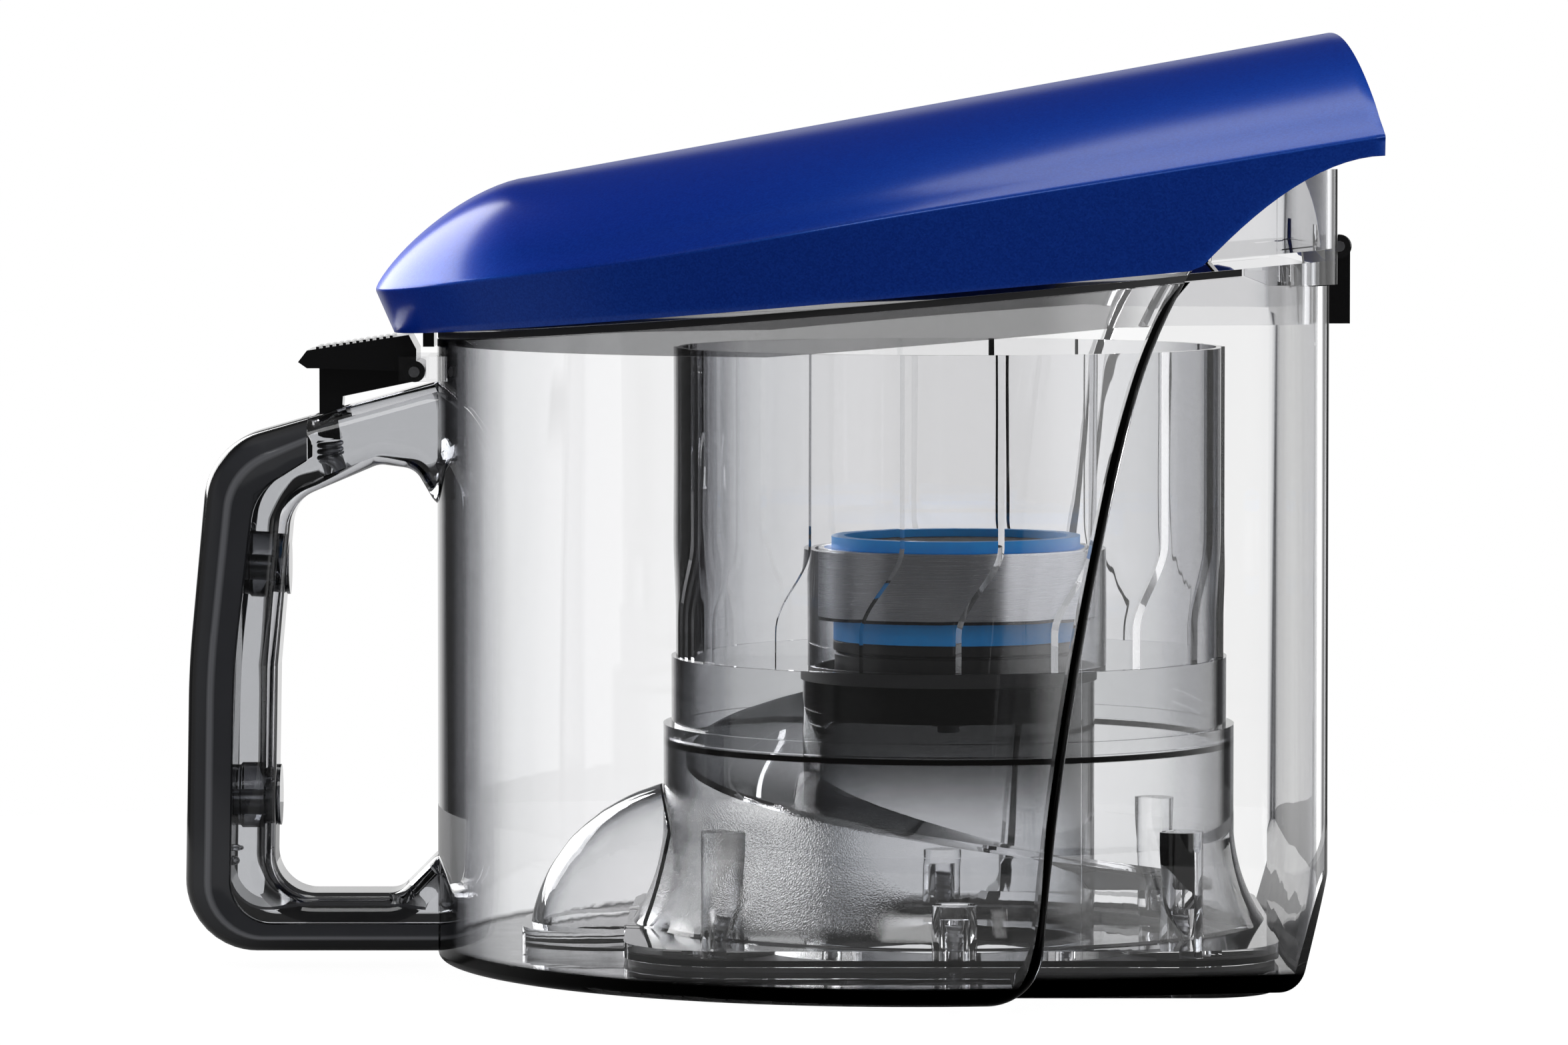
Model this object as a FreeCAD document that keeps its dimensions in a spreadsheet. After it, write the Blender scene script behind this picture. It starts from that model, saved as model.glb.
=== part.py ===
"""Dust bin of a bagless canister vacuum cleaner.

The bin stands on its foot plate. The origin is on the bench under the middle of the whole part,
+X points from the carrying handle to the lid hinge, and +Z points up. Lengths are in millimetres
and angles are in degrees.
"""
import FreeCAD, Part
import Sketcher
import math
import os
import re

Vector = FreeCAD.Vector
doc = FreeCAD.newDocument("DustBin")
sheet = doc.addObject("Spreadsheet::Sheet", "Sizes")
pieces = []


# ---------------------------------------------------------------- building helpers
def bound(text):
    """Point the size names in an expression at the sheet, and spell out the places that follow from them."""
    def spell(word):
        name = word.group(0)
        return "(%s)" % bound(places[name]) if name in places else "Sizes." + name
    return re.sub(r"[a-z][a-z_0-9]*_[a-z_0-9]+", spell, str(text))


def value(text):
    """The number that an expression stands for now."""
    return float(sheet.evalExpression(bound(text)))


def bind(thing, **properties):
    """Tie properties of an object to expressions."""
    for name, text in properties.items():
        thing.setExpression(name.replace("__", "."), bound(text))
    return thing


def place(thing, x=0, y=0, z=0):
    """Tie an object's position to expressions."""
    return bind(thing, Placement__Base__x=x, Placement__Base__y=y, Placement__Base__z=z)


def cylinder(name, radius, height, x=0, y=0, z=0, along=None):
    """A round bar whose base circle is centred on x, y, z. It runs along +Z unless told otherwise."""
    bar = bind(doc.addObject("Part::Cylinder", name), Radius=radius, Height=height)
    if along:
        bar.Placement.Rotation = FreeCAD.Rotation(Vector(0, 0, 1), Vector(*along))
    return place(bar, x, y, z)


def block(name, x, y, z):
    """A box between pairs of coordinates along each axis."""
    bar = doc.addObject("Part::Box", name)
    bind(bar, Length="(%s) - (%s)" % (x[1], x[0]), Width="(%s) - (%s)" % (y[1], y[0]))
    bind(bar, Height="(%s) - (%s)" % (z[1], z[0]))
    return place(bar, x[0], y[0], z[0])


def arc_between(start, end, radius, turn):
    """The circle arc from start to end that turns left or right, and whether it is drawn backwards."""
    middle = (start + end) * 0.5
    half = (end - start) * 0.5
    rise = math.sqrt(max(radius ** 2 - half.Length ** 2, 0.0))
    side = 1 if turn == "left" else -1
    centre = middle + Vector(-half.y, half.x, 0).normalize() * rise * side
    first, last = (start, end) if turn == "left" else (end, start)
    angles = [math.atan2(point.y - centre.y, point.x - centre.x) for point in (first, last)]
    circle = Part.Circle(centre, Vector(0, 0, 1), radius)
    return Part.ArcOfCircle(circle, angles[0], angles[1]), turn != "left"


def outline(name, corners, plane="XZ", level=0, shift=0):
    """A closed sketch. A corner is (x, y), or (x, y, radius, turn) where an arc leads to the next."""
    sketch = doc.addObject("Sketcher::SketchObject", name)
    if plane == "XZ":
        sketch.Placement.Rotation = FreeCAD.Rotation(Vector(1, 0, 0), 90)
        place(sketch, x=shift)
    else:
        place(sketch, x=shift, z=level)
    spots = [Vector(value(corner[0]), value(corner[1]), 0) for corner in corners]
    starts = []
    for index, corner in enumerate(corners):
        here, there = spots[index], spots[(index + 1) % len(spots)]
        if len(corner) == 2:
            sketch.addGeometry(Part.LineSegment(here, there))
            starts.append((1, 2))
        else:
            arc, backwards = arc_between(here, there, value(corner[2]), corner[3])
            sketch.addGeometry(arc)
            starts.append((2, 1) if backwards else (1, 2))
    for index, corner in enumerate(corners):
        after = (index + 1) % len(corners)
        join = (index, starts[index][1], after, starts[after][0])
        sketch.addConstraint(Sketcher.Constraint("Coincident", *join))
        if len(corner) == 4:
            number = sketch.addConstraint(Sketcher.Constraint("Radius", index, value(corner[2])))
            sketch.setExpression("Constraints[%d]" % number, bound(corner[2]))
        for kind, text in (("DistanceX", corner[0]), ("DistanceY", corner[1])):
            number = sketch.addConstraint(Sketcher.Constraint(kind, index, starts[index][0], value(text)))
            sketch.setExpression("Constraints[%d]" % number, bound(text))
    return sketch


def extrude(name, sketch, length, symmetric=True):
    """A solid from an outline, to both sides of it or along its normal."""
    solid = doc.addObject("Part::Extrusion", name)
    solid.Base = sketch
    solid.DirMode = "Normal"
    solid.Solid = True
    solid.Symmetric = symmetric
    return bind(solid, LengthFwd=length)


def turned(name, corners, axis_x):
    """A round piece from half its section, given as radius and height, about an upright axis."""
    section = outline(name + "_section", corners, shift=axis_x)
    solid = doc.addObject("Part::Revolution", name)
    solid.Source = section
    solid.Axis = Vector(0, 0, 1)
    solid.Angle = 360
    solid.Solid = True
    return bind(solid, Base__x=axis_x)


def ring(name, outer, inner, low, high, axis_x):
    """A plain turned ring."""
    return turned(name, [(inner, low), (outer, low), (outer, high), (inner, high)], axis_x)


def combine(kind, name, *shapes):
    """Fuse or intersect any number of shapes."""
    result = doc.addObject("Part::Multi" + kind, name)
    result.Shapes = list(shapes)
    if kind == "Fuse":
        result.Refine = True
    return result


def fuse(name, *shapes):
    return combine("Fuse", name, *shapes)


def common(name, *shapes):
    return combine("Common", name, *shapes)


def cut(name, base, *tools):
    """Take one or more shapes from a base."""
    result = doc.addObject("Part::Cut", name)
    result.Base = base
    result.Tool = tools[0] if len(tools) == 1 else combine("Fuse", name + "_tools", *tools)
    result.Refine = True
    return result


def rounded(name, base, radius, chosen):
    """Round the edges that a test chooses."""
    doc.recompute()
    result = doc.addObject("Part::Fillet", name)
    result.Base = base
    size = value(radius)
    edges = enumerate(base.Shape.Edges, 1)
    result.Edges = [(number, size, size) for number, edge in edges if chosen(edge)]
    return result


def along(axis):
    """A test for straight edges that run along one axis."""
    def test(edge):
        if not isinstance(edge.Curve, Part.Line):
            return False
        return abs(getattr(edge.tangentAt(edge.FirstParameter), axis)) > 0.999
    return test


def swung(bar, angle, start, width):
    """Turn a bar about the cyclone's axis, with its near end at start and its width centred."""
    bar.Placement.Rotation = FreeCAD.Rotation(Vector(0, 0, 1), 1)
    turn, half = "(%s) * 1 deg" % angle, "%s * 0.5" % width
    return bind(bar, Placement__Rotation__Angle=angle,
                Placement__Base__x="tube_axis_x + %s * cos(%s) + %s * sin(%s)" % (start, turn, half, turn),
                Placement__Base__y="%s * sin(%s) - %s * cos(%s)" % (start, turn, half, turn))


def piece(label, thing):
    """Register a finished piece under the name of its node."""
    thing.Label = label
    pieces.append(thing)
    return thing


# ---------------------------------------------------------------- driving sizes
dimensions = {
    # Container: drum, flat-backed box and the curved step between them
    "drum_axis_x": 31.35, "drum_radius": 105.6, "container_wall": 2.4, "floor_level": 2.0,
    "floor_thickness": 3.8, "rear_wall_x": 122.15, "rear_flare_x": 67.75, "rear_half_front": 85.0,
    "rear_half_back": 77.0, "rear_corner": 14.0, "rear_chamfer_rise": 33.0, "rear_chamfer_run": 8.6,
    "rear_foot_round": 6.0, "step_foot_x": 59.15, "step_foot_height": 14.0, "step_foot_round": 12.0,
    "step_waist_x": 78.25, "step_waist_height": 128.5, "step_bow": 700.0, "step_top_x": 95.5,
    "step_top_height": 165.0, "step_flare": 110.0, "bin_top": 200.0, "step_edge": 1.6,
    # Rim: sloping parting line and its rear shelf
    "parting_height": 150.7, "parting_slope": 5.01, "shelf_x": 107.75, "shelf_start_x": 102.3,
    "shelf_height": 154.8, "lid_gap": 0.2,
    # Places that the floor, the skirt and the pipe share
    "tube_axis_x": 40.8, "port_radius": 30.4, "inlet_x": -41.0, "inlet_radius": 8.0,
    "boss_circle": 66.4, "boss_angle": 41.0, "boss_radius": 5.0, "screw_hole": 2.2, "screw_head": 3.9,
    "screw_play": 0.2, "seat_gap": 0.05,
    # Release lever's pin and ears
    "pin_radius": 1.2, "pin_play": 0.05, "ear_thickness": 2.4, "lever_half_width": 11.0,
    "lever_side_gap": 0.4, "ear_reach": 3.4, "pin_proud": 0.5, "lever_reach": 4.65, "lever_drop": 7.24,
    "ear_plate": 2.0, "ear_below": 2.2,
    # Handle
    "handle_half_width": 13.0, "handle_wall": 2.4, "handle_foot": 3.6, "handle_lean_height": 68.0,
    "handle_foot_round": 16.0, "handle_shoulder_round": 17.0, "hole_foot": 16.7,
    "hole_lean_height": 68.0, "hole_foot_web": 9.0, "hole_round": 9.0, "hole_web_round": 5.0,
    "cover_depth": 10.6, "cover_foot_depth": 6.7, "cover_gap": 0.15, "grip_round": 6.0,
    "handle_reach": 57.15, "handle_root_in": 8.25, "handle_lean": 1.1, "handle_shoulder_in": 5.8,
    "handle_shoulder_drop": 16.6, "handle_top_gap": 0.1, "grip_depth": 20.6, "hole_lean": 0.9,
    "hole_shoulder_in": 4.2, "hole_shoulder_drop": 29.1, "hole_crown_out": 12.75,
    "hole_crown_drop": 20.8, "hole_web_out": 4.75, "hole_web_fall": 1.1, "hole_front_in": 0.35,
    "hole_web_drop": 9.8, "cover_length": 28.4,
    # Handle screws
    "grip_screw_high": 90.0, "grip_screw_low": 37.2, "grip_boss_radius": 6.6, "grip_screw_radius": 2.0,
    "grip_head_radius": 3.6, "grip_head_height": 2.6, "grip_screw_length": 12.0, "grip_bore_spare": 0.5,
    "grip_head_gap": 0.3, "grip_hole_play": 0.1, "grip_seat_play": 0.15,
    # Lever stem and its spring
    "stem_half_width": 5.0, "stem_side_gap": 0.5, "stem_slot_play": 1.9, "spring_radius": 2.4,
    "spring_wire": 0.6, "spring_height": 5.4, "spring_turns": 3.0, "spring_seat_radius": 3.6,
    "spring_travel": 6.0, "stem_reach": 21.7, "stem_width": 4.7, "spring_in": 2.2,
    "spring_seat_drop": 21.1,
    # Cyclone base and its gasket
    "skirt_radius": 64.2, "skirt_wall": 2.2, "skirt_top": 51.8, "skirt_waist_height": 30.0,
    "skirt_foot_radius": 71.0, "skirt_bow": 42.0, "flange_half": 72.0, "flange_round": 24.0,
    "flange_top": 10.5, "boss_top_long": 34.0, "boss_top_short": 20.0, "gasket_height": 1.2,
    "boss_wall_top": 4.0, "skirt_lip": 2.5, "gasket_inset": 1.0, "gasket_reach": 7.0,
    # Base screws and foot plate
    "screw_length": 13.5, "screw_head_height": 1.6, "plate_half": 70.0, "plate_round": 16.0,
    "port_seal_width": 3.2, "inlet_seal_width": 2.0, "port_seal_play": 0.8, "port_seal_foot": 0.4,
    # Inlet dome
    "dome_x": -10.0, "dome_length": 43.5, "dome_half_width": 25.0, "dome_height": 37.0,
    "dome_wall": 2.0, "dome_flange_x": -55.0, "dome_flange_width": 28.0, "dome_flange_height": 4.0,
    "dome_flange_round": 19.6, "dome_gap": 0.3,
    # Cyclone tube
    "lower_radius": 62.5, "lower_wall": 2.0, "split_height": 70.0, "collar_height": 3.0,
    "stack_gap": 0.05, "tube_radius": 62.0, "tube_wall": 2.0, "tube_top": 139.5, "rib_count": 18,
    "rib_width": 1.2, "rib_height": 1.2,
    # Outlet pipe and ramp
    "pipe_radius": 32.8, "pipe_wall": 2.0, "pipe_top": 64.7, "ramp_low": 17.0, "ramp_rise": 45.0,
    "ramp_turn": 270.0, "ramp_thickness": 1.6, "ramp_gap": 0.3,
    # Turbine and its bearings
    "seal_height": 3.2, "seal_radius": 33.3, "sleeve_radius": 33.5, "sleeve_wall": 1.6,
    "sleeve_top": 94.3, "drum_metal_radius": 31.0, "drum_metal_wall": 1.2, "drum_metal_low": 79.7,
    "drum_metal_top": 94.5, "band_radius": 27.6, "band_wall": 2.4, "band_low": 73.8, "rotor_plate": 0.8,
    "ring_radius": 28.2, "ring_width": 3.2, "ring_top": 97.0, "ring_plug": 2.0, "mesh_thickness": 0.8,
    "hub_radius": 6.0, "vane_count": 9, "vane_thickness": 1.0, "shaft_radius": 2.5,
    "bearing_radius": 5.0, "bearing_height": 4.0, "spider_low": 55.0, "spider_high": 71.0,
    "spider_wall": 2.0, "spider_arm": 2.4, "spider_arm_height": 8.0, "shaft_play": 0.05,
    "shaft_top": 93.0, "clip_radius": 4.0, "clip_height": 0.8, "clip_gap": 0.15, "shaft_tail": 1.5,
    "rotor_gap": 0.3, "press_gap": 0.02, "rim_drop": 0.2, "rotor_drop": 0.2,
    # Lid and hinge
    "plug_play": 1.0, "plug_wall": 2.0, "plug_bottom": 140.3, "plug_bend_x": 0.0, "plug_rear_x": 75.0,
    "plug_rear": 146.5, "lid_gasket": 1.5, "lid_plate": 2.5, "gasket_width": 4.4, "lid_rear_wall": 2.2,
    "lid_rear_x": 124.1, "lid_rear_half": 74.0, "lid_rear_top": 180.0, "lid_rear_front_x": 96.0,
    "hinge_x": 125.2, "hinge_height": 163.0, "hinge_pin_radius": 1.1, "hinge_knuckle": 2.6,
    "hinge_middle": 42.0, "hinge_half": 4.7, "hinge_play": 0.3, "hinge_ear": 4.0, "bracket_foot": 146.0,
    "shelf_ring_gap": 0.5, "gasket_edge": 0.2, "hinge_pin_play": 0.05,
    # Lid catch
    "catch_half_width": 7.0, "catch_thickness": 2.0, "catch_out": 2.95, "catch_depth": 2.5,
    "catch_reach": 15.2, "catch_drop": 1.84,
    # Blue cover
    "cover_axis_height": 192.9, "cover_slope": 10.2, "cover_arch": 252.0, "cover_nose_out": 13.8,
    "cover_overhang": 2.2, "cover_rear_half": 101.0, "cover_rear_x": 131.4, "cover_wall": 2.0,
    "cover_tip_rise": 10.36, "nose_bow": 53.7, "nose_length": 44.4, "cover_lower_rise": 2.7,
    "scoop_start_x": 91.8, "scoop_end_height": 183.2, "scoop_bow": 65.0, "cover_rear_low": 186.8,
    "cover_crest_x": 126.0, "nose_spare": 4.0, "crest_spare": 0.5, "arch_reach": 350.0,
    "cover_nose_lean": 4.1, "cover_block_low": 100.0, "cover_nose_low": 120.0,
    "cover_nose_foot_rise": 1.56, "cover_past_rear": 20.0,
    # Release lever
    "pad_rib_count": 12, "pad_rib_pitch": 1.5, "pad_rib_height": 0.5, "pad_rib_width": 0.7,
    "pad_rib_inset": 1.0, "pad_rib_start": 2.0, "web_half_width": 4.5, "pivot_boss": 2.4,
    "stem_gap": 0.3, "pad_reach": 26.1, "pad_tip_rise": 2.1, "pad_bevel": 2.0, "pad_rise": 4.7,
    "nib_gap": 3.0, "nib_rise": 8.2, "nib_foot_in": 0.4, "web_drop": 5.8, "pad_under_rise": 0.7,
}
# Places that follow from the sizes
places = {
    "drum_front_x": "drum_axis_x - drum_radius",
    "rim_front_height": "parting_height - drum_radius * tan(parting_slope * 1 deg)",
    "lever_pivot_x": "drum_front_x - lever_reach",
    "lever_pivot_height": "rim_front_height - lever_drop",
    "handle_back_x": "drum_front_x - handle_reach",
    "handle_root_x": "drum_front_x + handle_root_in",
    "handle_root_height": "lever_pivot_height - handle_top_gap",
    "handle_lean_x": "handle_back_x + handle_lean",
    "handle_shoulder_x": "handle_back_x + handle_shoulder_in",
    "handle_shoulder_height": "handle_root_height - handle_shoulder_drop",
    "hole_back_x": "handle_back_x + grip_depth",
    "hole_lean_x": "hole_back_x + hole_lean",
    "hole_shoulder_x": "hole_back_x + hole_shoulder_in",
    "hole_shoulder_height": "handle_root_height - hole_shoulder_drop",
    "hole_crown_x": "drum_front_x - hole_crown_out",
    "hole_crown_height": "handle_root_height - hole_crown_drop",
    "hole_web_x": "drum_front_x - hole_web_out",
    "hole_web_top": "hole_crown_height - hole_web_fall",
    "hole_front_x": "drum_front_x + hole_front_in",
    "hole_web_height": "hole_crown_height - hole_web_drop",
    "cover_end_x": "handle_back_x + cover_length",
    "stem_left_x": "lever_pivot_x - stem_reach",
    "stem_right_x": "stem_left_x + stem_width",
    "spring_x": "stem_left_x + spring_in",
    "spring_seat": "handle_root_height - spring_seat_drop",
    "catch_left_x": "drum_front_x - catch_out",
    "catch_right_x": "catch_left_x + catch_depth",
    "catch_tab_x": "catch_left_x + catch_reach",
    "catch_low": "rim_front_height - catch_drop",
    "cover_half_width": "drum_radius + cover_overhang",
    "cover_nose": "drum_radius + cover_nose_out",
    "cover_tip_x": "drum_axis_x - cover_nose",
    "cover_tip_height": "rim_front_height + cover_tip_rise",
    "nose_end_x": "cover_tip_x + nose_length",
    "cover_nose_foot_x": "cover_tip_x + cover_nose_lean",
    "pad_tip_x": "lever_pivot_x - pad_reach",
    "pad_tip_height": "lever_pivot_height + pad_tip_rise",
    "pad_top_x": "pad_tip_x + pad_bevel",
    "pad_top_height": "lever_pivot_height + pad_rise",
    "pad_underside": "lever_pivot_height + pad_under_rise",
    "nib_x": "catch_left_x - nib_gap",
    "nib_height": "lever_pivot_height + nib_rise",
    "nib_foot_x": "lever_pivot_x + nib_foot_in",
    "web_height": "lever_pivot_height - web_drop",
}
for row, (alias, size) in enumerate(dimensions.items(), 1):
    sheet.set("A%d" % row, alias)
    sheet.set("B%d" % row, str(size))
    sheet.setAlias("B%d" % row, alias)
doc.recompute()


# ---------------------------------------------------------------- container
# Clear moulded bin: a round drum in front, a narrower flat-backed box behind, a curved step between.


def on_step(edge):
    """The edges where the step cuts the drum."""
    box = edge.BoundBox
    return box.XMin > value("drum_axis_x") and box.ZLength > value("step_foot_height")


def bin_shape(name, margin, low):
    """The bin's outline as a solid block, moved inwards by a margin, from a level to above the rim."""
    radius, height = "drum_radius - (%s)" % margin, "bin_top - (%s)" % low
    drum = cylinder(name + "_drum", radius, height, "drum_axis_x", 0, low)
    step = [("drum_axis_x - drum_radius - 5", "floor_level - 1"),
            ("step_foot_x - step_foot_round - (%s)" % margin, "floor_level - 1"),
            ("step_foot_x - step_foot_round - (%s)" % margin, "floor_level + (%s) * 0.5" % margin,
             "step_foot_round", "left"),
            ("step_foot_x - (%s)" % margin, "step_foot_height", "step_bow", "right"),
            ("step_waist_x - (%s)" % margin, "step_waist_height", "step_flare", "right"),
            ("step_top_x - (%s)" % margin, "step_top_height"),
            ("step_top_x - (%s)" % margin, "bin_top + 1"),
            ("drum_axis_x - drum_radius - 5", "bin_top + 1")]
    front = extrude(name + "_front", outline(name + "_step", step), "drum_radius * 2 + 20")
    half_front = "rear_half_front - (%s)" % margin
    half_back = "rear_half_back - (%s)" % margin
    wall = "rear_wall_x - (%s)" % margin
    corner = "rear_corner - (%s)" % margin
    plan = [("drum_axis_x - 10", "-(%s)" % half_front), ("rear_flare_x", "-(%s)" % half_front),
            ("rear_wall_x - rear_corner", "-(%s)" % half_back, corner, "left"),
            (wall, "rear_corner - rear_half_back"), (wall, "rear_half_back - rear_corner", corner, "left"),
            ("rear_wall_x - rear_corner", half_back), ("rear_flare_x", half_front),
            ("drum_axis_x - 10", half_front)]
    rear = extrude(name + "_rear", outline(name + "_plan", plan, plane="XY", level=low),
                   "bin_top - (%s)" % low, symmetric=False)
    foot = "rear_wall_x + 2 - rear_chamfer_run - (%s)" % margin
    bend = "(rear_foot_round - (%s)) * tan(atan(rear_chamfer_rise / rear_chamfer_run) * 0.5)" % margin
    slant = "sqrt(rear_chamfer_rise ^ 2 + rear_chamfer_run ^ 2)"
    side = [("drum_axis_x - 20", "floor_level"),
            ("%s - %s" % (foot, bend), "floor_level", "rear_foot_round - (%s)" % margin, "left"),
            ("%s + %s * rear_chamfer_run / %s" % (foot, bend, slant),
             "floor_level + %s * rear_chamfer_rise / %s" % (bend, slant)),
            ("rear_wall_x + 2 - (%s)" % margin, "floor_level + rear_chamfer_rise"),
            ("rear_wall_x + 2 - (%s)" % margin, "bin_top + 1"), ("drum_axis_x - 20", "bin_top + 1")]
    back = extrude(name + "_back", outline(name + "_side", side), "drum_radius * 2 + 20")
    round_part = common(name + "_round_part", drum, front)
    if margin == "0":
        round_part = rounded(name + "_step_soft", round_part, "step_edge", on_step)
    return fuse(name, round_part, common(name + "_box_part", rear, back))


# The rim slopes up to the rear and drops to a lower shelf behind the hinge line of the lid.


def rim_line(x, rise):
    """Height of the sloping rim at x, with a rise added."""
    return "parting_height + ((%s) - drum_axis_x) * tan(parting_slope * 1 deg) + (%s)" % (x, rise)


def above_rim(name, rise, shelf_rise):
    """Everything above the rim line, as one block."""
    left, right = "drum_axis_x - drum_radius - 30", "rear_wall_x + 30"
    corners = [(left, rim_line(left, rise)), ("shelf_start_x", rim_line("shelf_start_x", rise)),
               ("shelf_x", "shelf_height + (%s)" % shelf_rise), (right, "shelf_height + (%s)" % shelf_rise),
               (right, "bin_top + 60"), (left, "bin_top + 60")]
    return extrude(name, outline(name + "_line", corners), "drum_radius * 2 + 60")


# Cyclone and port places that the floor, the skirt and the pipe share.
boss_angles = ["boss_angle", "90", "180 - boss_angle", "180 + boss_angle", "270", "360 - boss_angle"]


def on_boss_circle(angle):
    """X and Y of a screw boss at an angle about the cyclone's axis."""
    x = "tube_axis_x + boss_circle * cos((%s) * 1 deg)" % angle
    return x, "boss_circle * sin((%s) * 1 deg)" % angle


def at_bosses(name, radius, low, high):
    """One upright cylinder at each screw boss."""
    bars = []
    for number, angle in enumerate(boss_angles):
        x, y = on_boss_circle(angle)
        bars.append(cylinder("%s_%d" % (name, number), radius, "(%s) - (%s)" % (high, low), x, y, low))
    return bars


outer_bin = bin_shape("bin_outer", "0", "floor_level")
inner_bin = bin_shape("bin_inner", "container_wall", "floor_level + floor_thickness")
below_floor, above_floor = "floor_level - 1", "floor_level + floor_thickness + 1"
ports = [cylinder("outlet_port", "port_radius", "floor_thickness + 2", "tube_axis_x", 0, below_floor),
         cylinder("inlet_port", "inlet_radius", "floor_thickness + 2", "inlet_x", 0, below_floor)]
container = cut("container", outer_bin, inner_bin, above_rim("container_top", "0", "0"), *ports,
                *at_bosses("floor_hole", "screw_hole", below_floor, above_floor))
piece("container_body", container)

# The release lever turns on a pin between two clear ears, on a plate that is welded to the drum's front.
ear_inner = "lever_half_width + lever_side_gap"
ear_outer = "lever_half_width + lever_side_gap + ear_thickness"
ear_low, ear_high = "lever_pivot_height - ear_below", "lever_pivot_height + ear_reach"
drum_cut = cylinder("drum_cut", "drum_radius + seat_gap", "bin_top", "drum_axis_x", 0, -10)
ears = [block("ear_plate_block", ("drum_front_x - ear_plate", "drum_front_x + ear_plate"),
              ("-(%s)" % ear_outer, ear_outer), (ear_low, ear_high))]
for side in (-1, 1):
    span = (ear_inner, ear_outer) if side > 0 else ("-(%s)" % ear_outer, "-(%s)" % ear_inner)
    ears.append(block("ear_%d" % (side + 1), ("lever_pivot_x - ear_reach", "drum_front_x + ear_plate"), span,
                      (ear_low, ear_high)))
pin_hole = cylinder("lever_pin_hole", "pin_radius + pin_play", "(%s) * 2 + 4" % ear_outer, "lever_pivot_x",
                    "-(%s) - 2" % ear_outer, "lever_pivot_height", along=(0, 1, 0))
piece("lever_bracket", cut("lever_ears", fuse("lever_ears_solid", *ears), drum_cut, pin_hole))
pin_half = ear_outer + " + pin_proud"
piece("lever_pin", cylinder("lever_pin_bar", "pin_radius", "(%s) * 2" % pin_half, "lever_pivot_x",
                            "-(%s)" % pin_half, "lever_pivot_height", along=(0, 1, 0)))


# ---------------------------------------------------------------- handle
# Hollow two-part handle: a clear inner half that carries the load, and a dark half over its back.


def handle_block(name, margin, half_width):
    """The handle's outer outline as a solid, moved inwards by a margin."""
    corners = [("handle_root_x", "handle_foot + (%s)" % margin),
               ("handle_back_x + (%s)" % margin, "handle_foot + (%s)" % margin),
               ("handle_lean_x + (%s)" % margin, "handle_lean_height"),
               ("handle_shoulder_x + (%s)" % margin, "handle_shoulder_height - (%s)" % margin),
               ("handle_root_x", "handle_root_height - (%s)" % margin)]
    solid = extrude(name + "_sharp", outline(name + "_outline", corners), "(%s) * 2" % half_width)
    foot = near_corner(value("handle_back_x"), value("handle_foot"))
    shoulder = near_corner(value("handle_shoulder_x"), value("handle_shoulder_height"))
    solid = rounded(name + "_foot", solid, "handle_foot_round - (%s)" % margin, foot)
    return rounded(name, solid, "handle_shoulder_round - (%s)" % margin, shoulder)


def near_corner(x, z, reach=7.0):
    """A test for edges across the part that pass near a point seen from the side."""
    def test(edge):
        middle = edge.CenterOfMass
        return along("y")(edge) and math.hypot(middle.x - x, middle.z - z) < reach
    return test


def hole_block(name, margin, half_width):
    """The finger hole as a solid, grown by a margin. Its open side lies inside the drum."""
    grow = "(%s)" % margin
    corners = [("handle_root_x", "hole_foot + hole_foot_web - " + grow),
               ("hole_front_x + " + grow, "hole_foot + hole_foot_web - " + grow),
               ("hole_front_x - hole_foot_web + " + grow, "hole_foot - " + grow),
               ("hole_back_x - " + grow, "hole_foot - " + grow),
               ("hole_lean_x - " + grow, "hole_lean_height"),
               ("hole_shoulder_x - " + grow, "hole_shoulder_height + " + grow),
               ("hole_crown_x", "hole_crown_height + " + grow),
               ("hole_web_x + " + grow, "hole_web_top + " + grow),
               ("hole_front_x + " + grow, "hole_web_height + " + grow),
               ("handle_root_x", "hole_web_height + " + grow)]
    solid = extrude(name + "_sharp", outline(name + "_outline", corners), "(%s) * 2" % half_width)
    foot = near_corner(value("hole_back_x"), value("hole_foot"))
    top = near_corner(value("hole_shoulder_x"), value("hole_shoulder_height"))
    solid = rounded(name + "_back", solid, "hole_round + " + grow, lambda edge: foot(edge) or top(edge))
    return rounded(name, solid, "hole_web_round", lambda edge: along("y")(edge)
                   and value("hole_crown_x") - 2 < edge.CenterOfMass.x < value("handle_root_x") - 1)


wide = "handle_half_width + 5"
ring_solid = cut("handle_ring", handle_block("handle_outer", "0", "handle_half_width"),
                 hole_block("handle_hole", "0", wide))
doc.recompute()


def grip_edge(edge):
    """Edges along both faces of the handle, away from the drum."""
    box = edge.BoundBox
    flat = box.YLength < 0.01 and abs(abs(box.YMin) - value("handle_half_width")) < 0.01
    return flat and box.XMax < value("hole_web_x") - 0.5


room = handle_block("handle_inner", "handle_wall", "handle_half_width - handle_wall")
hollow = cut("handle_hollow", room, hole_block("handle_hole_wall", "handle_wall", wide))
shell = cut("handle_shell", rounded("handle_soft", ring_solid, "grip_round", grip_edge), hollow)


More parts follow.
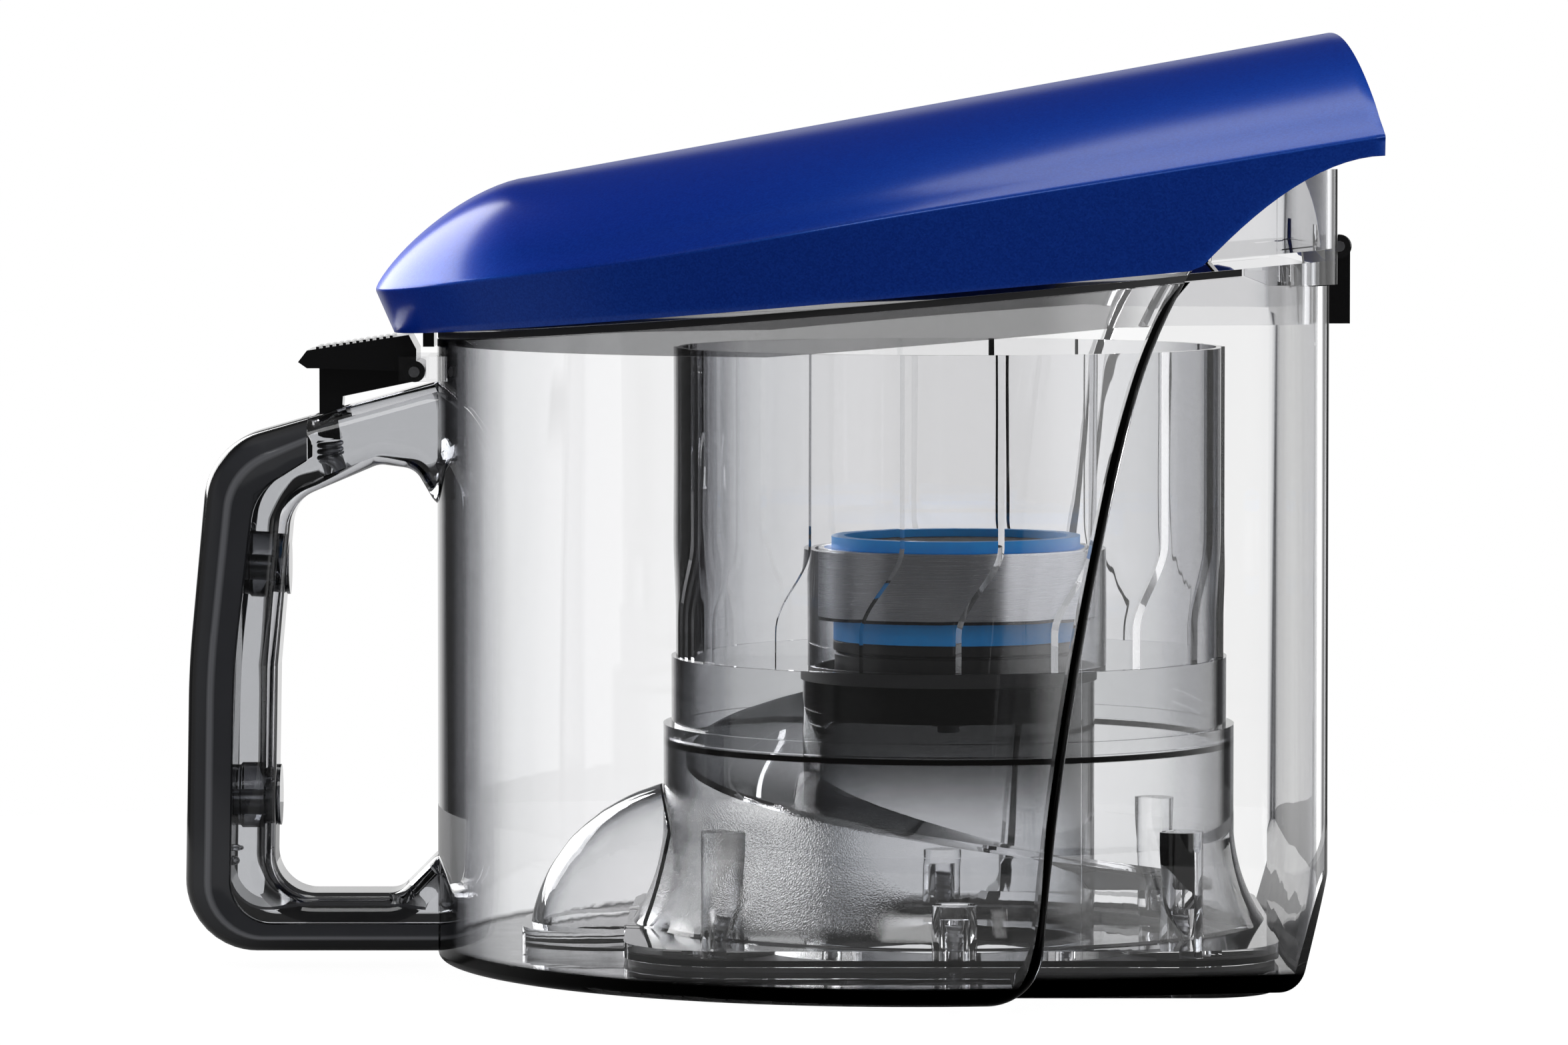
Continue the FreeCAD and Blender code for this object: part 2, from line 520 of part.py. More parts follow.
def split_block(name, margin):
    """The side of the handle towards the fingers, inside the line where its two halves meet."""
    low = "handle_foot + cover_foot_depth + (%s)" % margin
    corners = [("handle_root_x + 20", low), ("handle_back_x + cover_depth + (%s)" % margin, low),
               ("handle_lean_x + cover_depth + (%s)" % margin, "handle_lean_height"),
               ("handle_shoulder_x + cover_depth + (%s)" % margin, "handle_shoulder_height - cover_depth"),
               ("cover_end_x + (%s)" % margin, "handle_shoulder_height - cover_foot_depth * 0.5"),
               ("cover_end_x + (%s)" % margin, "handle_root_height + 20"),
               ("handle_root_x + 20", "handle_root_height + 20")]
    solid = extrude(name + "_sharp", outline(name + "_outline", corners), "handle_half_width * 2 + 4")
    foot = (value("handle_back_x + cover_depth"), value("handle_foot + cover_foot_depth"))
    return rounded(name, solid, "handle_foot_round - cover_foot_depth", near_corner(*foot))


# Two screws run along X from the finger side, through the clear half, into bosses of the dark half.
boss_room = handle_block("boss_room", "handle_wall * 0.5", "handle_half_width - 1")
grip_tools, bosses, screw_bars = [drum_cut], [], []
finger_wall = "hole_back_x - handle_wall"
screw_tip = finger_wall + " + grip_head_gap - grip_screw_length"
for number, height in enumerate(("grip_screw_high", "grip_screw_low")):
    start, end = "handle_back_x + handle_wall * 0.6", finger_wall + " - grip_head_gap"
    boss = cylinder("grip_boss_%d" % number, "grip_boss_radius", "(%s) - (%s)" % (end, start),
                    start, 0, height, along=(1, 0, 0))
    bore = cylinder("grip_bore_%d" % number, "grip_screw_radius", "grip_screw_length",
                    screw_tip + " - grip_bore_spare", 0, height, along=(1, 0, 0))
    trimmed = common("grip_boss_trim_%d" % number, boss, boss_room)
    bosses.append(cut("grip_boss_bored_%d" % number, trimmed, bore))
    shank = cylinder("grip_shank_%d" % number, "grip_screw_radius - seat_gap", "grip_screw_length",
                     screw_tip, 0, height, along=(1, 0, 0))
    head = cylinder("grip_head_%d" % number, "grip_head_radius", "grip_head_height",
                    finger_wall + " + grip_head_gap", 0, height, along=(1, 0, 0))
    screw_bars.append(fuse("grip_screw_%d" % number, shank, head))
    through = cylinder("grip_through_%d" % number, "grip_screw_radius + grip_hole_play", "handle_wall * 3",
                       finger_wall + " - handle_wall", 0, height, along=(1, 0, 0))
    head_seat = cylinder("grip_seat_%d" % number, "grip_head_radius + grip_seat_play", "handle_wall * 3",
                         finger_wall + " + grip_head_gap", 0, height, along=(1, 0, 0))
    grip_tools += [through, head_seat]

# The lever's stem dips into a slot in the top of the grip, onto a spring on its own seat.
stem_slot = block("stem_slot", ("stem_left_x - stem_slot_play * 0.5", "stem_right_x + stem_slot_play"),
                  ("-stem_half_width - stem_side_gap", "stem_half_width + stem_side_gap"),
                  ("spring_seat + spring_travel", "handle_root_height + 5"))
seat_bar = cylinder("spring_seat_bar", "spring_seat_radius", "spring_seat - hole_shoulder_height",
                    "spring_x", 0, "hole_shoulder_height")
seat = cut("spring_seat_post", seat_bar, hole_block("spring_seat_trim", "handle_wall * 0.5", wide))
grip = common("grip_half", shell, split_block("split_inner", "cover_gap"))
piece("handle_grip", cut("grip", fuse("grip_with_seat", grip, seat), *grip_tools, stem_slot))
back_shell = cut("cover_shell", shell, split_block("split_outer", "0"))
piece("handle_cover", cut("cover_half", fuse("cover_with_bosses", back_shell, *bosses), drum_cut))
piece("handle_screws", combine("Fuse", "grip_screws", *screw_bars))

wound_height = "spring_height - spring_wire * 2"
helix = bind(doc.addObject("Part::Helix", "spring_line"), Radius="spring_radius", Height=wound_height,
             Pitch="(%s) / spring_turns" % wound_height)
wire = bind(doc.addObject("Part::Circle", "spring_section"), Radius="spring_wire")
wire.Placement.Rotation = FreeCAD.Rotation(Vector(1, 0, 0), 90)
place(wire, x="spring_radius")
helix.SegmentLength = 0.5
doc.recompute()
coil = doc.addObject("Part::Sweep", "spring_coil")
coil.Sections = [wire]
coil.Spine = (helix, ["Edge%d" % (number + 1) for number in range(len(helix.Shape.Edges))])
coil.Solid = True
coil.Frenet = True
piece("lever_spring", place(coil, "spring_x", 0, "spring_seat + spring_wire + seat_gap"))


# ---------------------------------------------------------------- cyclone base
# Clear flared skirt on a square flange, with six hollow bosses that straddle its wall.
floor_top = "floor_level + floor_thickness"
flange_foot = "floor_level + floor_thickness + gasket_height"
skirt_section = [("skirt_foot_radius - skirt_wall", flange_foot), ("skirt_foot_radius", flange_foot),
                 ("skirt_foot_radius", "flange_top", "skirt_bow", "right"),
                 ("skirt_radius", "skirt_waist_height"), ("skirt_radius", "skirt_top"),
                 ("skirt_radius - skirt_wall", "skirt_top"),
                 ("skirt_radius - skirt_wall", "skirt_waist_height", "skirt_bow + skirt_wall", "left"),
                 ("skirt_foot_radius - skirt_wall", "flange_top")]
skirt = turned("skirt", skirt_section, "tube_axis_x")


def square_plate(name, half, low, high, corner):
    """A square plate about the cyclone's axis with rounded corners."""
    plate = block(name + "_sharp", ("tube_axis_x - (%s)" % half, "tube_axis_x + (%s)" % half),
                  ("-(%s)" % half, half), (low, high))
    return rounded(name, plate, corner, along("z"))


plate = square_plate("flange_plate", "flange_half", flange_foot, "flange_top", "flange_round")
plate_hole = cylinder("flange_hole", "skirt_foot_radius - skirt_wall", "flange_top", "tube_axis_x", 0,
                      "floor_level")
skirt_bore = cylinder("skirt_bore", "skirt_radius - skirt_wall - skirt_lip", "skirt_top", "tube_axis_x", 0,
                      "floor_level")
boss_bars = at_bosses("boss", "boss_radius", flange_foot, "boss_top_long")
for number in (1, 4):
    bind(boss_bars[number], Height="boss_top_short - (%s)" % flange_foot)
boss_bores = at_bosses("boss_bore", "screw_hole", "floor_level", "boss_top_short - boss_wall_top + 1")
base = cut("base", fuse("base_solid", skirt, cut("flange_ring", plate, plate_hole), *boss_bars),
           skirt_bore, *boss_bores)
piece("cyclone_base", base)

gasket_plate = square_plate("gasket_plate", "flange_half - gasket_inset", floor_top, flange_foot,
                            "flange_round - gasket_inset")
gasket_hole = cylinder("gasket_hole", "skirt_foot_radius - skirt_wall - gasket_reach", "flange_top",
                       "tube_axis_x", 0, 0)
piece("base_gasket", cut("gasket", gasket_plate, gasket_hole,
                         *at_bosses("gasket_bore", "screw_hole + screw_play", floor_top + " - 1",
                                    flange_foot + " + 1")))

# Six self-tapping screws come up through the floor. Their heads sit in the foot plate.
screws = []
for number, angle in enumerate(boss_angles):
    x, y = on_boss_circle(angle)
    shank = cylinder("screw_shank_%d" % number, "screw_hole - seat_gap", "screw_length", x, y,
                     "floor_level")
    head = cylinder("screw_head_%d" % number, "screw_head", "screw_head_height", x, y,
                    "floor_level - screw_head_height")
    screws.append(fuse("screw_%d" % number, shank, head))
piece("base_screws", combine("Fuse", "base_screw_set", *screws))

foot = square_plate("foot_sharp_plate", "plate_half", 0, "floor_level", "plate_round")
foot_hole = cylinder("foot_hole", "port_radius + port_seal_play * 2 + port_seal_width", "floor_level + 2",
                     "tube_axis_x", 0, -1)
piece("foot_plate", cut("foot", foot, foot_hole,
                        *at_bosses("foot_bore", "screw_head + screw_play", -1, "floor_level + 1")))
for label, radius, width, x in (("outlet_seal", "port_radius", "port_seal_width", "tube_axis_x"),
                                ("inlet_seal", "inlet_radius", "inlet_seal_width", "inlet_x")):
    inner = radius + " + port_seal_play"
    outer = inner + " + " + width
    piece(label, ring(label + "_ring", outer, inner, "port_seal_foot", "floor_level", x))

# Clear domed duct that turns the incoming air sideways into the skirt.


def dome_shape(name, margin):
    """Half of an egg that stands on the floor, moved inwards by a margin."""
    egg = doc.addObject("Part::Ellipsoid", name)
    bind(egg, Radius1="dome_height - (%s)" % margin, Radius2="dome_length - (%s)" % margin,
         Radius3="dome_half_width - (%s)" % margin)
    return place(egg, "dome_x", 0, floor_top)


dome_foot = block("dome_foot", ("dome_flange_x", "dome_x"), ("-dome_flange_width", "dome_flange_width"),
                  (floor_top, floor_top + " + dome_flange_height"))
dome_foot = rounded("dome_foot_round", dome_foot, "dome_flange_round",
                    lambda edge: along("z")(edge) and edge.CenterOfMass.x < value("dome_x") - 5)
dome_clear = cylinder("dome_clear", "skirt_radius + dome_gap", "dome_height * 2", "tube_axis_x", 0, 0)
dome_plate_clear = square_plate("dome_plate_clear", "flange_half + dome_gap", 0, "flange_top + dome_gap",
                                "flange_round + dome_gap")
dome_low = block("dome_low", ("dome_x - dome_length * 2", "dome_x + dome_length * 2"),
                 ("-dome_length", "dome_length"), ("-dome_height", floor_top))
dome_foot_clear = turned("dome_foot_clear", [(0, 0), ("skirt_foot_radius + dome_gap", 0),
                                             ("skirt_foot_radius + dome_gap", "flange_top + 1"),
                                             ("skirt_radius + dome_gap", "skirt_waist_height + 1"),
                                             (0, "skirt_waist_height + 1")], "tube_axis_x")
dome_solid = fuse("dome_solid", dome_shape("dome_outer", "0"), dome_foot)
dome = cut("dome", dome_solid, dome_shape("dome_inner", "dome_wall"), dome_clear, dome_plate_clear,
           dome_low, dome_foot_clear,
           *at_bosses("dome_boss_clear", "boss_radius + dome_gap", -1, "boss_top_long + 1"))
piece("inlet_dome", dome)


# ---------------------------------------------------------------- cyclone tube and ramp
# Smoky lower ring, clear ribbed tube on top of it, and the ramp that turns the air round the pipe.
collar_low, collar_high = "skirt_top + stack_gap", "skirt_top + collar_height"
lower_section = [("lower_radius - lower_wall", collar_low), ("skirt_radius", collar_low),
                 ("skirt_radius", collar_high), ("lower_radius", collar_high),
                 ("lower_radius", "split_height"), ("lower_radius - lower_wall", "split_height")]
piece("cyclone_lower_tube", turned("lower_tube", lower_section, "tube_axis_x"))
tube_foot = "split_height + stack_gap"
tube = ring("tube_ring", "tube_radius", "tube_radius - tube_wall", tube_foot, "tube_top", "tube_axis_x")
ribs = []
for number in range(int(value("rib_count"))):
    start = "(tube_radius - tube_wall - rib_height)"
    rib = block("rib_%d" % number, (start, "tube_radius - tube_wall * 0.5"), (0, "rib_width"),
                (tube_foot, "tube_top"))
    ribs.append(swung(rib, "%d * 360 / rib_count" % number, start, "rib_width"))
piece("cyclone_tube", fuse("tube", tube, *ribs))


ramp_near, ramp_far = "pipe_radius + seat_gap", "skirt_radius - skirt_wall - skirt_lip - ramp_gap"
ramp_line = bind(doc.addObject("Part::Helix", "ramp_line"), Radius=ramp_near, Height="ramp_rise",
                 Pitch="ramp_rise * 360 / ramp_turn")
ramp_line.LocalCoord = "Left-handed"
place(ramp_line, "tube_axis_x", 0, "ramp_low")
ramp_section = outline("ramp_section", [(ramp_near, "ramp_low"), (ramp_far, "ramp_low"),
                                        (ramp_far, "ramp_low + ramp_thickness"),
                                        (ramp_near, "ramp_low + ramp_thickness")], shift="tube_axis_x")
ramp = doc.addObject("Part::Sweep", "ramp")
ramp.Sections = [ramp_section]
ramp.Spine = (ramp_line, ["Edge1"])
ramp.Solid = True
ramp.Frenet = True
piece("helical_ramp", ramp)


# ---------------------------------------------------------------- outlet pipe and turbine
# The smoky pipe carries a black seal and a smoky sleeve. A metal drum spins inside the sleeve.
pipe_bore = "pipe_radius - pipe_wall"
piece("outlet_pipe", ring("pipe_ring", "pipe_radius", pipe_bore, floor_top + " + stack_gap", "pipe_top",
                          "tube_axis_x"))
piece("pipe_seal", ring("seal_ring", "seal_radius", pipe_bore, "pipe_top + press_gap",
                        "pipe_top + seal_height", "tube_axis_x"))
piece("turbine_housing", ring("sleeve", "sleeve_radius", "sleeve_radius - sleeve_wall",
                              "pipe_top + seal_height + press_gap", "sleeve_top", "tube_axis_x"))
piece("turbine_drum", ring("metal_drum", "drum_metal_radius", "drum_metal_radius - drum_metal_wall",
                           "drum_metal_low", "drum_metal_top", "tube_axis_x"))
piece("turbine_band", ring("band", "band_radius", "band_radius - band_wall", "band_low",
                           "drum_metal_low - rotor_plate", "tube_axis_x"))
inner_drum = "drum_metal_radius - drum_metal_wall - seat_gap"
rotor_plate = ring("rotor_ring", "drum_metal_radius", "band_radius - band_wall - 2",
                   "drum_metal_low - rotor_plate", "drum_metal_low", "tube_axis_x")
hub_low, rotor_top = "spider_high + rotor_gap", "drum_metal_top - ring_plug - rotor_drop"
hub = cylinder("hub", "hub_radius", "%s - (%s)" % (rotor_top, hub_low), "tube_axis_x", 0, hub_low)
vanes = []
for number in range(int(value("vane_count"))):
    vane = block("vane_%d" % number, (0, inner_drum), (0, "vane_thickness"),
                 ("drum_metal_low - rotor_plate", rotor_top))
    vanes.append(swung(vane, "%d * 360 / vane_count" % number, "0", "vane_thickness"))
vane_limit = cylinder("vane_limit", inner_drum, "drum_metal_top - drum_metal_low + 2", "tube_axis_x", 0,
                      "drum_metal_low - 1")
rotor = fuse("rotor_solid", rotor_plate, hub, common("vane_set", fuse("vanes", *vanes), vane_limit))
shaft_bore = cylinder("rotor_bore", "shaft_radius", "drum_metal_top - spider_low", "tube_axis_x", 0,
                      "spider_low")
piece("turbine_rotor", cut("rotor", rotor, shaft_bore))
plug_foot = "drum_metal_top - ring_plug"
cap_section = [("ring_radius - ring_width", plug_foot), (inner_drum, plug_foot),
               (inner_drum, "drum_metal_top"), ("ring_radius", "drum_metal_top"), ("ring_radius", "ring_top"),
               ("ring_radius - ring_width", "ring_top")]
piece("turbine_cap_ring", turned("cap_ring", cap_section, "tube_axis_x"))
piece("mesh_filter", cylinder("mesh_disc", "ring_radius - ring_width - seat_gap", "mesh_thickness",
                              "tube_axis_x", 0, "drum_metal_top"))
clip_top, shaft_low = "spider_low - clip_gap", "spider_low - clip_gap - clip_height - shaft_tail"
piece("turbine_shaft", cylinder("shaft", "shaft_radius", "shaft_top - (%s)" % shaft_low, "tube_axis_x", 0,
                                shaft_low))
piece("shaft_clip", ring("clip", "clip_radius", "shaft_radius", clip_top + " - clip_height", clip_top,
                         "tube_axis_x"))
for label, low in (("lower_bearing", "spider_low"), ("upper_bearing", "spider_high - bearing_height")):
    piece(label, ring(label + "_ring", "bearing_radius - press_gap", "shaft_radius + shaft_play", low,
                      "(%s) + bearing_height" % low, "tube_axis_x"))
spider_hub = ring("spider_hub", "bearing_radius + spider_wall", "bearing_radius", "spider_low",
                  "spider_high", "tube_axis_x")
arm_top = "pipe_top - rim_drop"
arm_low = arm_top + " - spider_arm_height"
spider_rim = ring("spider_rim", pipe_bore + " - seat_gap", pipe_bore + " - spider_wall", arm_low, arm_top,
                  "tube_axis_x")
arms = []
for number in range(3):
    angle = "%d * 120 + 90" % number
    start = "(bearing_radius + spider_wall * 0.5)"
    arm = block("spider_arm_%d" % number, (start, pipe_bore + " - spider_wall * 0.5"), ("0", "spider_arm"),
                (arm_low, arm_top))
    arms.append(swung(arm, angle, start, "spider_arm"))
piece("bearing_spider", fuse("spider", spider_hub, spider_rim, *arms))


# ---------------------------------------------------------------- lid
# Clear lid with a plug skirt that dips into the bin, a black gasket under its rim, and hinge ears.
plate_rise = "lid_gap + lid_gasket"


def rim_band(name, low, high, left, right):
    """A sloping band between two rises over the rim line."""
    corners = [(left, rim_line(left, low)), (right, rim_line(right, low)), (right, rim_line(right, high)),
               (left, rim_line(left, high))]
    return extrude(name, outline(name + "_line", corners), "drum_radius * 2 + 60")


far_left, far_right = "drum_axis_x - drum_radius - 30", "rear_wall_x + 30"
lid_outer = bin_shape("lid_outer", "0", "plug_bottom - 5")
lid_plate = common("lid_plate_cut", lid_outer, rim_band("lid_band", plate_rise, plate_rise + " + lid_plate",
                                                        far_left, far_right))
plug_ring = cut("plug_ring", bin_shape("plug_outer", "container_wall + plug_play", "plug_bottom - 5"),
                bin_shape("plug_inner", "container_wall + plug_play + plug_wall", "plug_bottom - 6"))
plug_line = [(far_left, "plug_bottom"), ("plug_bend_x", "plug_bottom"), ("plug_rear_x", "plug_rear"),
             (far_right, "plug_rear"), (far_right, rim_line(far_right, plate_rise + " + 1")),
             (far_left, rim_line(far_left, plate_rise + " + 1"))]
plug_slab = extrude("plug_slab", outline("plug_line", plug_line), "drum_radius * 2 + 60")
plug = common("plug", plug_ring, plug_slab)
shelf_ring_x = "shelf_start_x + shelf_ring_gap"
shelf_line = [("shelf_x + shelf_ring_gap", "shelf_height + lid_gap"), (far_right, "shelf_height + lid_gap"),
              (far_right, rim_line(far_right, plate_rise + " + 1")),
              (shelf_ring_x, rim_line(shelf_ring_x, plate_rise + " + 1")),
              (shelf_ring_x, rim_line(shelf_ring_x, "lid_gap"))]
shelf_ring = common("shelf_ring", cut("shelf_shell", bin_shape("shelf_outer", "0", "plug_bottom - 5"),
                                      bin_shape("shelf_inner", "container_wall", "plug_bottom - 6")),
                    extrude("shelf_slab", outline("shelf_line", shelf_line), "drum_radius * 2 + 60"))
rear_box = block("lid_rear_box", ("lid_rear_front_x", "lid_rear_x"), ("-lid_rear_half", "lid_rear_half"),
                 ("shelf_height + lid_gap", "lid_rear_top"))


def rear_upright(edge):
    """The upright edges of the lid's rear wall."""
    return along("z")(edge) and edge.CenterOfMass.x > value("lid_rear_x - lid_rear_wall") - 1


rear_box = rounded("lid_rear_round", rear_box, "rear_corner", rear_upright)
rear_room = block("lid_rear_room", ("lid_rear_front_x - 1", "lid_rear_x - lid_rear_wall"),
                  ("lid_rear_wall - lid_rear_half", "lid_rear_half - lid_rear_wall"),
                  ("shelf_height", "lid_rear_top + 5"))
rear_room = rounded("lid_room_round", rear_room, "rear_corner - lid_rear_wall", rear_upright)
rear_low = block("lid_rear_low", ("lid_rear_front_x - 1", "shelf_x + shelf_ring_gap"),
                 ("-lid_rear_half - 1", "lid_rear_half + 1"),
                 ("plug_bottom", rim_line("shelf_x", plate_rise)))
rear_shell = cut("lid_rear_shell", rear_box, rear_room, rear_low)


def across(name, radius, middle, half):
    """A bar along Y about the hinge line."""
    return cylinder(name, radius, "(%s) * 2" % half, "hinge_x", "(%s) - (%s)" % (middle, half),
                    "hinge_height", along=(0, 1, 0))


ear_bars, ear_holes, slots, brackets, pins = [], [], [], [], []
for side in (-1, 1):
    middle = "%d * hinge_middle" % side
    name = "left" if side > 0 else "right"
    slots.append(block("bracket_slot_" + name, ("lid_rear_x - 12", "hinge_x + 20"),
                       ("%s - hinge_half - hinge_play" % middle, "%s + hinge_half + hinge_play" % middle),
                       ("shelf_height - 1", "hinge_height + hinge_knuckle + 2")))
    for flank in (-1, 1):
        centre = "%s + %d * (hinge_half + hinge_play + hinge_ear * 0.5)" % (middle, flank)
        ear_name = "lid_ear_%s_%d" % (name, flank + 1)
        ear_bars.append(across(ear_name, "hinge_knuckle", centre, "hinge_ear * 0.5"))
    knuckle = across("knuckle_" + name, "hinge_knuckle", middle, "hinge_half")
    stem = block("bracket_stem_" + name, ("rear_wall_x + seat_gap", "hinge_x + hinge_knuckle"),
                 ("%s - hinge_half" % middle, "%s + hinge_half" % middle), ("bracket_foot", "hinge_height"))
    hole = across("bracket_hole_" + name, "hinge_pin_radius + hinge_pin_play", middle, "hinge_half + 2")
    brackets.append(cut("bracket_" + name, fuse("bracket_solid_" + name, knuckle, stem), hole))
    pins.append(across("hinge_bar_" + name, "hinge_pin_radius", middle,
                       "hinge_half + hinge_play + hinge_ear + pin_proud"))
    ear_holes.append(across("lid_ear_hole_" + name, "hinge_pin_radius + hinge_pin_play", middle,
                            "hinge_half + hinge_play + hinge_ear + 1"))
lid = cut("lid", fuse("lid_solid", lid_plate, plug, shelf_ring, rear_shell, *ear_bars), *slots, *ear_holes)
piece("lid_body", lid)
piece("hinge_brackets", combine("Fuse", "bracket_pair", *brackets))
piece("hinge_pins", combine("Fuse", "pin_pair", *pins))

gasket_band = rim_band("gasket_band", "lid_gap", plate_rise + " - press_gap", far_left, "shelf_start_x")
gasket_shell = cut("gasket_shell", bin_shape("gasket_outer", "gasket_edge", "plug_bottom - 5"),
                   bin_shape("gasket_inner", "gasket_width", "plug_bottom - 6"))
plug_clear = bin_shape("gasket_clear", "container_wall + plug_play - seat_gap", "plug_bottom - 7")
piece("lid_gasket", cut("gasket_strip", common("gasket_full", gasket_shell, gasket_band), plug_clear))

# The catch is a tongue on the front of the lid plate that the lever's nib holds.
tab_low, tab_high = plate_rise + " + lid_plate", plate_rise + " + lid_plate + catch_thickness"
catch_line = [("catch_left_x", "catch_low"), ("catch_right_x", "catch_low"),
              ("catch_right_x", rim_line("catch_right_x", tab_low)),
              ("catch_tab_x", rim_line("catch_tab_x", tab_low)),
              ("catch_tab_x", rim_line("catch_tab_x", tab_high)),
              ("catch_left_x", rim_line("catch_left_x", tab_high))]
piece("lid_catch", extrude("catch", outline("catch_line", catch_line), "catch_half_width * 2"))


# ---------------------------------------------------------------- blue cover
# One thin painted shell: an arched top that climbs to the rear over steep sides.


def crest_line(x, margin):
    """Height of the cover's crest at x, moved down by a margin."""
    return "cover_axis_height + ((%s) - drum_axis_x) * tan(cover_slope * 1 deg) - (%s)" % (x, margin)


def cover_shape(name, margin):
    """The cover's outer form as a solid, moved inwards by a margin."""
    nose = "cover_nose - (%s)" % margin
    front = bind(doc.addObject("Part::Cylinder", name + "_unit"), Radius="cover_half_width - (%s)" % margin,
                 Height="bin_top")
    front = place(front, "drum_axis_x", 0, "cover_block_low")
    rear_half, half = "cover_rear_half - (%s)" % margin, "cover_half_width - (%s)" % margin
    plan = [("drum_axis_x", "-(%s)" % half), ("cover_rear_x + cover_past_rear", "-(%s)" % rear_half),
            ("cover_rear_x + cover_past_rear", rear_half), ("drum_axis_x", half)]
    rear_plan = outline(name + "_plan", plan, plane="XY", level="cover_block_low")
    rear = extrude(name + "_rear", rear_plan, "bin_top", symmetric=False)
    left = "drum_axis_x - (%s)" % nose
    bow = "((%s)^2 + (%s)^2) / (2 * (%s))" % (nose, half, nose)
    nose_plan = [("drum_axis_x", "-(%s)" % half), ("drum_axis_x", half, bow + " + nose_spare", "left"),
                 (left, "0", bow + " + nose_spare", "left")]
    nose_outline = outline(name + "_nose_plan", nose_plan, plane="XY", level="cover_block_low")
    tip = extrude(name + "_nose", nose_outline, "bin_top", symmetric=False)
    body = fuse(name + "_plan_solid", front, rear, tip)
    arch = cylinder(name + "_arch", "cover_arch - (%s)" % margin, "arch_reach * 2")
    arch.Placement.Rotation = FreeCAD.Rotation(Vector(0, 1, 0), 1)
    bind(arch, Placement__Rotation__Angle="90 - cover_slope")
    rise, run = "sin(cover_slope * 1 deg)", "cos(cover_slope * 1 deg)"
    place(arch, "drum_axis_x - arch_reach * %s + cover_arch * %s" % (run, rise), 0,
          "cover_axis_height - arch_reach * %s - cover_arch * %s" % (rise, run))
    tip_x, foot_x = "cover_tip_x + (%s)" % margin, "cover_nose_foot_x + (%s)" % margin
    side = [(foot_x, "cover_nose_low"), (foot_x, "rim_front_height + cover_nose_foot_rise"),
            (tip_x, "cover_tip_height", "nose_bow - (%s)" % margin, "right"),
            ("nose_end_x", crest_line("nose_end_x", margin)),
            ("cover_crest_x", crest_line("cover_crest_x", margin + " - crest_spare")),
            ("cover_rear_x", "cover_rear_low"), ("cover_rear_x", "cover_nose_low")]
    profile = extrude(name + "_profile", outline(name + "_side", side), "cover_half_width * 2 + 30")
    return common(name, body, arch, profile)


lower_line = [(far_left, "cover_block_low"), (far_left, rim_line(far_left, "cover_lower_rise")),
              ("scoop_start_x", rim_line("scoop_start_x", "cover_lower_rise"), "scoop_bow", "right"),
              ("cover_rear_x", "scoop_end_height"), (far_right, "scoop_end_height"),
              (far_right, "cover_block_low")]
below = extrude("cover_below", outline("cover_lower_line", lower_line), "drum_radius * 2 + 60")
cover = cut("cover", cover_shape("cover_outer", "0"), cover_shape("cover_inner", "cover_wall"), below)
piece("lid_cover", cover)


# ---------------------------------------------------------------- release lever
# Black lever with a ribbed thumb pad, a pivot boss and a stem that presses its spring.
lever_line = [("pad_tip_x", "pad_tip_height"), ("pad_top_x", "pad_underside"),
              ("stem_left_x", "pad_underside"), ("nib_foot_x", "lever_pivot_height"),
              ("nib_foot_x", "lever_pivot_height + 5"),
              ("nib_x", "nib_height"), ("pad_top_x", "pad_top_height")]
pad = extrude("lever_pad", outline("lever_line", lever_line), "lever_half_width * 2")
stem_low = "spring_seat + spring_height + stem_gap"
web_line = [("stem_left_x", "pad_underside + 1"), ("stem_left_x", stem_low), ("stem_right_x", stem_low),
            ("stem_right_x + stem_gap * 2", "web_height"),
            ("lever_pivot_x", "lever_pivot_height - pivot_boss"),
            ("lever_pivot_x", "lever_pivot_height + 1")]
web = extrude("lever_web", outline("web_line", web_line), "web_half_width * 2")
pivot = cylinder("lever_boss", "pivot_boss", "lever_half_width * 2", "lever_pivot_x", "-lever_half_width",
                 "lever_pivot_height", along=(0, 1, 0))
rib_tilt = "atan((nib_height - pad_top_height) / (nib_x - pad_top_x))"
pad_ribs = []
for number in range(int(value("pad_rib_count"))):
    step = "(%d * pad_rib_pitch + pad_rib_start)" % number
    pad_ribs.append(block("pad_rib_%d" % number,
                          ("pad_top_x + %s" % step, "pad_top_x + %s + pad_rib_width" % step),
                          ("pad_rib_inset - lever_half_width", "lever_half_width - pad_rib_inset"),
                          ("pad_top_height - 1 + %s * tan(%s)" % (step, rib_tilt),
                           "pad_top_height + pad_rib_height + %s * tan(%s)" % (step, rib_tilt))))
pivot_hole = cylinder("lever_bore", "pin_radius + pin_play", "lever_half_width * 2 + 4", "lever_pivot_x",
                      "-lever_half_width - 2", "lever_pivot_height", along=(0, 1, 0))
piece("release_lever", cut("lever", fuse("lever_solid", pad, web, pivot, *pad_ribs), pivot_hole))


# ---------------------------------------------------------------- check and write the pieces
doc.recompute()
for thing in doc.Objects:
    if "Invalid" in thing.State or "Error" in thing.State:
        raise RuntimeError("%s could not be built: %s" % (thing.Name, thing.getStatusString()))
os.makedirs("parts", exist_ok=True)
for thing in pieces:
    shape = thing.Shape
    if shape.isNull() or not shape.isValid() or not shape.Solids:
        raise RuntimeError("%s is not a valid solid" % thing.Label)
for thing in pieces:
    thing.Shape.exportStep("parts/%s.step" % thing.Label)
    box = thing.Shape.BoundBox
    print("%-20s solids %d volume %10.1f  x %7.1f %7.1f  y %7.1f %7.1f  z %7.1f %7.1f" % (
        thing.Label, len(thing.Shape.Solids), thing.Shape.Volume,
        box.XMin, box.XMax, box.YMin, box.YMax, box.ZMin, box.ZMax))
